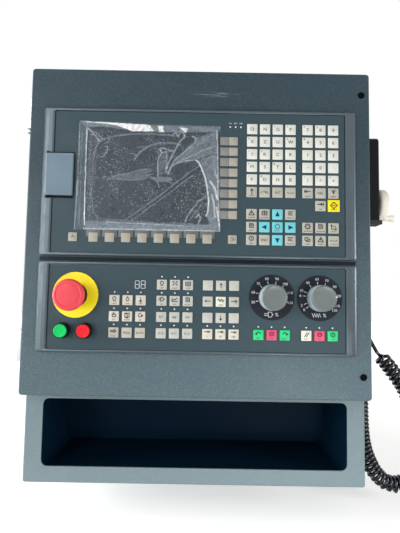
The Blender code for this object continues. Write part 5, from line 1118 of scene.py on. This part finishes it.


# Protective film: creases, milky patches and painted glints, in thousandths of its width and height from its
# top left corner

CREASES = (
    # points, half width, milkiness (partly painted reflection), painted glint, lift
    (((114, 343), (128, 239), (154, 186), (199, 154), (277, 128), (389, 109), (524, 98), (637, 106),
     (705, 117)), 0.0080, 0.30, 0.10, 0.60),
    (((58, 64), (107, 123), (154, 186)), 0.0100, 0.42, 0.15, 0.70),
    (((84, 80), (124, 114), (171, 166)), 0.0057, 0.35, 0.15, 0.50),
    (((114, 343), (114, 519), (113, 681), (128, 828), (158, 886), (203, 903)), 0.0060, 0.20, 0.06, 0.50),
    (((132, 269), (128, 445), (131, 622)), 0.0045, 0.14, 0.05, 0.30),
    (((203, 903), (409, 912), (588, 927), (743, 923), (810, 929)), 0.0060, 0.24, 0.10, 0.50),
    (((400, 344), (438, 275), (493, 219), (571, 181), (661, 180), (717, 192)), 0.0095, 0.36, 0.12, 0.90),
    (((420, 231), (454, 225), (487, 226)), 0.0064, 0.30, 0.10, 0.40),
    (((659, 105), (683, 73), (726, 65), (750, 114), (717, 154), (693, 211), (663, 285), (637, 362),
     (627, 422)), 0.0071, 0.50, 0.25, 0.90),
    (((800, 111), (829, 128), (807, 187), (752, 250), (686, 329), (652, 409), (636, 470)), 0.0079, 0.55,
     0.30, 1.00),
    (((681, 81), (695, 110), (715, 74)), 0.0050, 0.60, 0.40, 0.60),
    (((567, 485), (562, 395), (565, 320), (590, 274), (618, 258)), 0.0071, 0.50, 0.25, 0.80),
    (((590, 274), (572, 242), (594, 226), (640, 249), (679, 257)), 0.0071, 0.52, 0.25, 0.80),
    (((622, 272), (626, 347), (621, 423), (627, 467)), 0.0064, 0.40, 0.15, 0.60),
    (((665, 393), (731, 334), (798, 293), (876, 236), (959, 190)), 0.0086, 0.55, 0.25, 0.80),
    (((720, 343), (775, 264), (830, 198), (896, 128), (957, 68)), 0.0071, 0.50, 0.25, 0.80),
    (((687, 371), (754, 344), (827, 328)), 0.0071, 0.55, 0.35, 0.80),
    (((731, 297), (797, 225), (886, 159), (952, 117)), 0.0064, 0.35, 0.12, 0.40),
    (((823, 330), (844, 351), (868, 411), (891, 486), (906, 576), (918, 713), (914, 804), (903, 850)),
     0.0079, 0.85, 0.55, 1.00),
    (((928, 530), (960, 589), (979, 695)), 0.0114, 0.70, 0.60, 0.70),
    (((939, 651), (954, 742), (965, 864)), 0.0093, 0.65, 0.50, 0.60),
    (((972, 772), (985, 863), (995, 954)), 0.0086, 0.70, 0.60, 0.60),
    (((957, 407), (967, 467), (987, 527)), 0.0107, 0.55, 0.35, 0.50),
    (((971, 40), (981, 406), (982, 650), (995, 992)), 0.0050, 0.75, 0.50, 0.60),
    (((57, 82), (60, 302), (64, 595), (72, 954)), 0.0043, 0.95, 0.70, 0.80),
    (((89, 102), (96, 447), (109, 873)), 0.0040, 0.16, 0.06, 0.30),
    (((5, 26), (9, 304), (11, 626), (6, 985)), 0.0050, 0.50, 0.25, 0.30),
    (((14, 553), (8, 626), (12, 685)), 0.0114, 0.50, 0.35, 0.40),
    (((25, 84), (32, 450), (38, 948)), 0.0060, 0.20, 0.10, 0.30),
    (((69, 988), (300, 989), (633, 990), (967, 989)), 0.0064, 0.75, 0.45, 0.60),
    (((226, 926), (432, 932), (744, 945)), 0.0057, 0.65, 0.35, 0.50),
    (((299, 949), (408, 849), (527, 729), (647, 602), (779, 453), (839, 394)), 0.0045, 0.36, 0.12, 0.80),
    (((349, 948), (441, 863), (561, 737), (676, 616), (807, 474)), 0.0040, 0.32, 0.10, 0.60),
    (((760, 907), (775, 854), (808, 792), (851, 715), (897, 676)), 0.0075, 0.40, 0.18, 0.80),
    (((789, 896), (820, 837), (887, 726)), 0.0050, 0.28, 0.12, 0.60),
    (((833, 867), (853, 836), (865, 870), (846, 935)), 0.0064, 0.50, 0.30, 0.50),
    (((215, 537), (253, 509), (309, 485), (365, 475), (420, 442), (509, 429)), 0.0042, 0.42, 0.20, 0.70),
    (((376, 496), (443, 473), (526, 439)), 0.0036, 0.30, 0.12, 0.50),
    (((411, 537), (455, 490), (533, 475)), 0.0040, 0.36, 0.15, 0.60),
    (((215, 537), (288, 537), (411, 537), (456, 532), (511, 488)), 0.0040, 0.36, 0.15, 0.60),
    (((508, 512), (578, 500), (659, 508)), 0.0045, 0.36, 0.15, 0.60),
    (((556, 531), (576, 590)), 0.0050, 0.35, 0.15, 0.40),
    (((624, 540), (669, 556)), 0.0057, 0.40, 0.20, 0.40),
    (((209, 238), (203, 294), (176, 333), (156, 326)), 0.0064, 0.36, 0.12, 0.50),
    (((223, 151), (202, 206)), 0.0050, 0.30, 0.10, 0.40),
    (((362, 286), (407, 302)), 0.0057, 0.32, 0.10, 0.40),
    (((329, 558), (331, 495)), 0.0036, 0.25, 0.10, 0.20),
)
PATCHES = (
    # corners, soft edge, milkiness (partly painted reflection), painted glint
    (((2, 4), (499, 17), (998, 5), (985, 54), (794, 69), (569, 80), (388, 76), (162, 49), (61, 64)),
     0.0107, 0.42, 0.15),
    (((34, 8), (273, 9), (499, 17), (529, 75), (377, 85), (308, 52), (263, 32), (138, 21), (48, 15)),
     0.0071, 0.95, 1.00),
    (((554, 21), (595, 22), (590, 52), (602, 78), (564, 81)), 0.0064, 0.85, 0.80),
    (((705, 30), (768, 32), (751, 81)), 0.0064, 0.95, 1.00),
    (((2, 12), (53, 23), (75, 991), (2, 1000)), 0.0071, 0.12, 0.02),
    (((76, 923), (231, 917), (588, 937), (966, 928), (996, 997), (78, 994)), 0.0100, 0.50, 0.16),
    (((844, 336), (979, 253), (998, 985), (924, 929), (909, 850), (920, 713), (906, 561), (873, 411)),
     0.0114, 0.40, 0.12),
    (((665, 390), (730, 267), (807, 156), (840, 117), (968, 48), (977, 253), (910, 287), (832, 329),
     (754, 344)), 0.0157, 0.32, 0.06),
    (((215, 537), (253, 506), (309, 482), (364, 472), (420, 439), (509, 428), (526, 442), (477, 477),
     (433, 509), (411, 537), (355, 533), (288, 536)), 0.0071, 0.20, 0.04),
    (((411, 537), (455, 487), (533, 475), (489, 521), (444, 535)), 0.0064, 0.20, 0.04),
    (((506, 512), (578, 500), (657, 505), (671, 532), (624, 546), (557, 546)), 0.0064, 0.32, 0.06),
    (((58, 67), (154, 186), (128, 242), (114, 343), (115, 681), (128, 828), (203, 903), (231, 917),
     (76, 923)), 0.0143, 0.05, 0.00),
    (((559, 276), (590, 274), (622, 272), (622, 468), (567, 485)), 0.0086, 0.16, 0.00),
)


def distance_to(points, at_x, at_y):
    """Distances from many places to a polyline."""
    best = np.full_like(at_x, np.inf)
    for (x0, y0), (x1, y1) in zip(points, points[1:]):
        run_x, run_y = x1 - x0, y1 - y0
        t = ((at_x - x0) * run_x + (at_y - y0) * run_y) / (run_x * run_x + run_y * run_y)
        t = np.clip(t, 0, 1)
        best = np.minimum(best, np.hypot(at_x - x0 - t * run_x, at_y - y0 - t * run_y))
    return best


def within(corners, at_x, at_y):
    """Which of many places lie inside a polygon."""
    inside = np.zeros(at_x.shape, bool)
    for (x0, y0), (x1, y1) in zip(corners, corners[1:] + corners[:1]):
        if y0 == y1:
            continue
        crosses = (y0 > at_y) != (y1 > at_y)
        inside ^= crosses & (at_x < x0 + (at_y - y0) * (x1 - x0) / (y1 - y0))
    return inside


def film_fields(u, v, aspect):
    """How high the film is at each place, how milky (partly painted reflection), how strong its painted
    glint, and its ripple.
    """
    places = list(zip(u.flat, (v * aspect).flat))
    wavers = []
    for seed in (0.3, 7.7):
        values = [noise.noise(Vector((a * WAVER_CELLS, b * WAVER_CELLS, seed))) for a, b in places]
        wavers.append(np.array(values).reshape(u.shape))
    x, y = u + WAVER * wavers[0], v * aspect + WAVER * wavers[1]
    lift, haze_and_reflection, painted_glint = np.zeros_like(x), np.zeros_like(x), np.zeros_like(x)
    for points, half, milk_and_reflection, glint, rise in CREASES:
        points = [(a / 1000, b / 1000 * aspect) for a, b in points]
        near = np.clip(1.25 - distance_to(points, x, y) / half, 0, 1)
        near = near * near * (3 - 2 * near)
        lift, haze_and_reflection = np.maximum(lift, near * rise), np.maximum(haze_and_reflection, near * milk_and_reflection)
        painted_glint = np.maximum(painted_glint, near * glint)
    for corners, soft, milk_and_reflection, glint in PATCHES:
        corners = [(a / 1000, b / 1000 * aspect) for a, b in corners]
        away = distance_to(corners + corners[:1], x, y)
        near = np.clip(0.5 + np.where(within(corners, x, y), away, -away) / soft, 0, 1)
        haze_and_reflection, painted_glint = np.maximum(haze_and_reflection, near * milk_and_reflection), np.maximum(painted_glint, near * glint)
        lift = np.maximum(lift, near * 0.5 * milk_and_reflection)
    return lift, haze_and_reflection, painted_glint, 0.5 + 0.5 * wavers[1]


def make_film():
    """The clear film: a fine sheet whose creases stand up, and how milky each point of it is (partly painted
    reflection) and how strong its painted glint is.
    """
    across_count, up_count = FILM_CELLS
    width, height = FILM_SIZE
    left = FILM_CENTRE[0] - width / 2
    top = UPPER_Z + FILM_CENTRE[1] + height / 2
    u, v = np.meshgrid(np.linspace(0, 1, across_count + 1), np.linspace(0, 1, up_count + 1))
    lift, haze_and_reflection, painted_glint, ripple = film_fields(u, v, height / width)
    out = FILM_HEIGHT + RIPPLE_RISE * ripple + CREASE_RISE * lift
    across = left + u * width - LOWER_LEFT_OUT * (1 - u) * v + LOWER_RIGHT_OUT * u * v
    up = top - v * height - UPPER_RIGHT_DOWN * u * (1 - v)
    sheet = Shape()
    front = [panel(*point) for point in zip(across.flat, up.flat, out.flat)]
    sheet.vertices = front + [(x, y + FILM_THICKNESS, z) for x, y, z in front]
    count, stride = len(front), across_count + 1
    for row in range(up_count):
        for column in range(across_count):
            a = row * stride + column
            sheet.faces.append((a, a + 1, a + stride + 1, a + stride))
            sheet.faces.append((count + a, count + a + stride, count + a + stride + 1, count + a + 1))
    rim = list(range(stride)) + [row * stride + across_count for row in range(1, up_count + 1)]
    rim += [up_count * stride + column for column in range(across_count - 1, -1, -1)]
    rim += [row * stride for row in range(up_count - 1, 0, -1)]
    for here, there in zip(rim, rim[1:] + rim[:1]):
        sheet.faces.append((here, count + here, count + there, there))
    made = piece("wrinkled_screen_film", sheet, "film", "door", "clear_film", 60)
    for name, values in (("crease", haze_and_reflection), ("glint", painted_glint)):
        layer = made.data.attributes.new(name, "FLOAT", "POINT")
        layer.data.foreach_set("value", list(values.flat) * 2)
    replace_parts(made, "screen_film")


# Lower unit: each group's left column, and its rows from the top with their look and legends

LOWER_GROUPS = (
    (-0.1081, (
        ("bright_key", (":lamp|LIGHT", ":drop|COOL", ":down|CHIP")),
        ("bright_key", (":hand|JOG", ":door|DOOR", ":loop|REF")),
        ("cream_key", (":tool|TOOL", "MDA", "AUTO")),
    )),
    (-0.0464, (
        ("cool_key", (":lamp|LAMP", ":clamp|CHUCK", ":grid|FEED")),
        ("cool_key", (":spindle|TAIL", ":chart|DRY", ":page|BLOCK")),
        ("cool_key", ("K7", "K8", "K9")),
        ("cool_key", ("K10", "K11", "K12")),
    )),
    (ARROW_KEYS, (
        ("cool_key", ("", ":up", "")),
        ("cool_key", (":left", ":wave|RAPID", ":right")),
        ("cool_key", ("", ":down", "")),
        ("bright_key", (":step1", ":step10", ":step100")),
    )),
    (0.0808, (("green_key", (":turn_left|LEFT", ":stop|STOP", ":turn_right|RIGHT")),)),
    (0.1433, (("green_key", (":slash|RESET", ":stop|STOP", ":start|START")),)),
)
OWN_LOOKS = {":wave|RAPID": "wave_key", ":slash|RESET": "wave_key", ":stop|STOP": "pink_key"}
SPINDLE_MARKS = (
    (195, "50"), (165, "60"), (135, "70"), (105, "80"), (75, "90"), (45, "100"), (15, "110"), (-15, "120"),
)
FEED_MARKS = (
    (217.5, "0"), (202.5, "2"), (172.5, "6"), (157.5, "10"), (127.5, "40"), (97.5, "60"), (67.5, "70"),
    (37.5, "90"), (7.5, "100"), (-22.5, "110"), (-37.5, "120"),
)


def lower_keys():
    """Every lower key: place, look, legend and whether a lamp stands over it."""
    for left, lines in LOWER_GROUPS:
        for row, (look, legends) in enumerate(lines):
            rows_below = len(lines) - 1 - row
            up = LOWER_Z + BOTTOM_ROW + rows_below * LOWER_ROW
            lamp = left != ARROW_KEYS or rows_below == 0
            for column, legend in enumerate(legends):
                yield left + column * KEY_PITCH, up, OWN_LOOKS.get(legend, look), legend, lamp


def finish_lower_unit():
    tiles = {}
    ink, lamps = Shape(), Shape()
    for across, up, look, legend, lamp in lower_keys():
        tiles.setdefault(look, Shape()).key(across, up, LOWER_KEY, LOWER_KEY)
        if legend.startswith(":step"):
            icon(ink, "step", across, up + STEP_ICON_RISE, LOWER_KEY)
            ink.text(legend[5:], across, up - STEP_NUMBER_DROP, STEP_NUMBER_HEIGHT, KEY_PRINT, weight=BOLD)
        else:
            print_legend(ink, legend, across, up, LOWER_KEY)
        if lamp:
            lamps.lamp(across, up + LAMP_RISE, LOWER_LAMP)
    for look, shape in tiles.items():
        piece(f"lower_{look}s", shape, look, "door", "overlay_film")
    piece("lower_legends", ink, "dark_ink", "door", "overlay_film")
    piece("lower_lamps", lamps, "white_ink", "door", "overlay_film")


def make_digits():
    """Two digits with all their segments."""
    digits = Shape()
    width, height = DIGIT_SIZE
    thick = width * 0.13
    half_w, half_h = width / 2 - thick / 2, height / 2 - thick / 2
    gap = thick * 0.65
    for offset in (-DIGIT_OFFSET, DIGIT_OFFSET):
        across, up = DIGITS_PLACE[0] + offset, DIGITS_PLACE[1]
        for level in (up - half_h, up, up + half_h):
            digits.bar((across - half_w + gap, level), (across + half_w - gap, level), thick, DIGIT_PRINT)
        for x in (across - half_w, across + half_w):
            for base in (up - half_h, up):
                digits.bar((x, base + gap), (x, base + half_h - gap), thick, DIGIT_PRINT)
    piece("digit_segments", digits, "digit_segment", "door", "black_plastic")


def make_stop():
    profile = [
        (0.0119, 0.0212), (0.0123, 0.0219), (0.0148, 0.0246), (0.0180, 0.0277), (0.0195, 0.0296),
        (0.0199, 0.0309), (0.0200, 0.0326), (0.0197, 0.0341), (0.0188, 0.0353), (0.0176, 0.0360),
        (0.0164, 0.0362), (0.0158, 0.0362), (0.0154, 0.0358), (0.0148, 0.0357), (0.0142, 0.0360),
        (0.0119, 0.0363), (0.0080, 0.03645), (0.0040, 0.0365), (0.0010, 0.0365),
    ]
    turned_piece(
        "stop_head_cap", "estop_head", panel, STOP_PLACE, profile,
        "stop_red", "estop_head", "signal_red", 72, 60,
    )


def make_buttons():
    collar = [
        (0.0049, 0.0030), (0.0080, 0.0030), (0.0080, 0.0050), (0.0102, 0.0050), (0.0103, 0.0062),
        (0.0099, 0.0066), (0.0094, 0.0068), (0.0094, 0.0160), (0.0092, 0.0164), (0.0089, 0.0165),
        (0.0087, 0.0162), (0.0086, 0.0080), (0.0049, 0.0080),
    ]
    cap = [
        (0.0044, -0.0058), (0.0045, 0.0140), (0.0083, 0.0142), (0.0084, 0.0148), (0.0084, 0.0168),
        (0.0082, 0.0172), (0.0078, 0.0174), (0.0072, 0.0173), (0.0066, 0.0171), (0.0040, 0.0170),
        (0.0008, 0.0170),
    ]
    for name, place, slot in (("green", GREEN_PLACE, "signal_green"), ("red", RED_PLACE, "signal_red_lens")):
        body = f"{name}_button"
        turned_piece(
            f"{body}_bezel", f"{body}_collar", panel, place, collar,
            "black", "door", "black_plastic", 48, 35, ring=True,
        )
        turned_piece(
            f"{body}_lens", f"{body}_cap", panel, place, cap,
            f"{name}_lens", body, slot, 48, 50,
        )


def make_dial(name, place, marks, rest, pointer_look):
    """The knob with its ribbed skirt and pointer, and the print on the scale round it."""
    profile = [
        (0.0050, 0.0062), (0.0172, 0.0062), (0.0176, 0.0066), (0.0176, 0.0084), (0.0173, 0.0092),
        (0.0171, 0.0098), (0.0167, 0.0236), (0.0165, 0.0252), (0.0160, 0.0262), (0.0153, 0.0267),
        (0.0147, 0.0270), (0.0142, 0.0269), (0.0139, 0.0267), (0.0080, 0.0268), (0.0040, 0.0268),
    ]
    print_scale(name, marks, *place)
    across, up = place
    knob = Shape()
    knob.turned(place, profile, KNOB_STEPS)
    first, last = (row * KNOB_STEPS for row in RIBBED)
    for index in range(first, last):
        if index % 4 < 2:
            x, y, z = knob.vertices[index]
            knob.vertices[index] = (across + (x - across) * RIB_SHARE, y, up + (z - up) * RIB_SHARE)
    body = f"{name}_dial"
    made = piece(f"{name}_knob_cap", knob, "knob", body, "knob_grey", 40, ("knob_skirt_highlight",))
    # the ribbed rows take the paler skirt material, a painted highlight
    for face in made.data.polygons[first:last - KNOB_STEPS]:
        face.material_index = 1
    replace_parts(made, f"{name}_knob")
    mark = Shape()
    angle = math.radians(rest)
    run = Vector((math.cos(angle), math.sin(angle)))
    mark.bar(*(Vector(place) + run * radius for radius in POINTER_ENDS), POINTER_WIDTH, POINTER_LEVELS)
    piece(f"{name}_knob_pointer", mark, pointer_look, body, "knob_grey")


def print_scale(name, marks, across, up):
    """Digits, ticks and the dial's symbol in white on the black scale."""
    scale = Shape()
    for degrees, words in marks:
        angle = math.radians(degrees)
        x, y = math.cos(angle), math.sin(angle)
        scale.text(words, across + NUMBER_RADIUS * x, up + NUMBER_RADIUS * y, NUMBER_HEIGHT, SCALE_PRINT)
        tick = [(across + radius * x, up + radius * y) for radius in TICK_ENDS]
        scale.bar(*tick, TICK_WIDTH, SCALE_PRINT)
    base = up - SYMBOL_DROP
    if name == "spindle":
        stroke = 0.0007
        corner = [(-0.0008, 0.0032), (0.0006, 0.0018), (0.0006, -0.0018), (-0.0008, -0.0032)]
        strokes = [
            [(-0.0095, 0.0011), (-0.0045, 0.0011)],
            [(-0.0095, -0.0011), (-0.0045, -0.0011)],
            [(-0.0045, 0.0032), *corner, (-0.0045, -0.0032), (-0.0045, 0.0032)],
            [(0.0006, 0), (0.0022, 0)],
        ]
    else:
        stroke = 0.0005
        strokes = [[(-0.0098 + i * 0.0016 + i % 2 * 0.0005, -0.0026 if i % 2 else 0.0026) for i in range(8)]]
    for points in strokes:
        scale.path([(across + x, base + y) for x, y in points], stroke, SCALE_PRINT)
    scale.text("%", across + PERCENT_SHIFT, base, PERCENT_HEIGHT, SCALE_PRINT)
    piece(f"{name}_scale_print", scale, "scale_ink", "door", "black_plastic")


# Hand unit

def finish_hand_unit():
    wheel = [
        (0.0033, 0.0520), (0.0033, 0.0421), (0.0068, 0.0421), (0.0072, 0.0424), (0.0200, 0.0424),
        (0.0212, 0.0424), (0.0232, 0.0432), (0.0243, 0.0448), (0.0245, 0.0470), (0.0245, 0.0530),
        (0.0242, 0.0548), (0.0232, 0.0559), (0.0218, 0.0563), (0.0140, 0.0563), (0.0130, 0.0560),
        (0.0124, 0.0552), (0.0110, 0.0540), (0.0072, 0.0535), (0.0010, 0.0535),
    ]
    grip = [
        (0.0025, 0.0700), (0.0025, 0.0569), (0.0040, 0.0569), (0.0046, 0.0574), (0.0044, 0.0590),
        (0.0041, 0.0610), (0.0045, 0.0650), (0.0050, 0.0690), (0.0050, 0.0706), (0.0047, 0.0715),
        (0.0040, 0.0717), (0.0034, 0.0717), (0.0034, 0.0702),
    ]
    turned_piece(
        "handwheel_rim", "handwheel", hand_side, (0, WHEEL_Z), wheel,
        "cream", "handwheel", "wheel_cream", 64, 50,
    )
    turned_piece(
        "crank_grip_sleeve", "handwheel_crank_grip", hand_side, (0, WHEEL_Z - CRANK_RADIUS), grip,
        "cream", "crank_grip", "wheel_cream", 32, 50, ring=True,
    )
    ticks = Shape(hand_side)
    for index in range(GRADUATIONS):
        angle = 2 * math.pi * index / GRADUATIONS
        ends = SHORT_TICK if index % 10 else LONG_TICK
        tick = [(radius * math.cos(angle), WHEEL_Z + radius * math.sin(angle)) for radius in ends]
        ticks.bar(*tick, GRADUATION_WIDTH, WHEEL_PRINT)
    piece("handwheel_graduation", ticks, "white_ink", "cabinet", "black_plastic")


def main():
    make_camera()
    make_cord()
    make_stage()
    dress_nodes()
    make_hinge_screws()
    make_gap_strip()
    finish_upper_unit()
    make_film()
    finish_lower_unit()
    make_digits()
    make_stop()
    make_buttons()
    make_dial("spindle", SPINDLE_PLACE, SPINDLE_MARKS, 45.0, "knob")
    make_dial("feed", FEED_PLACE, FEED_MARKS, 7.5, "white_ink")
    finish_hand_unit()


main()
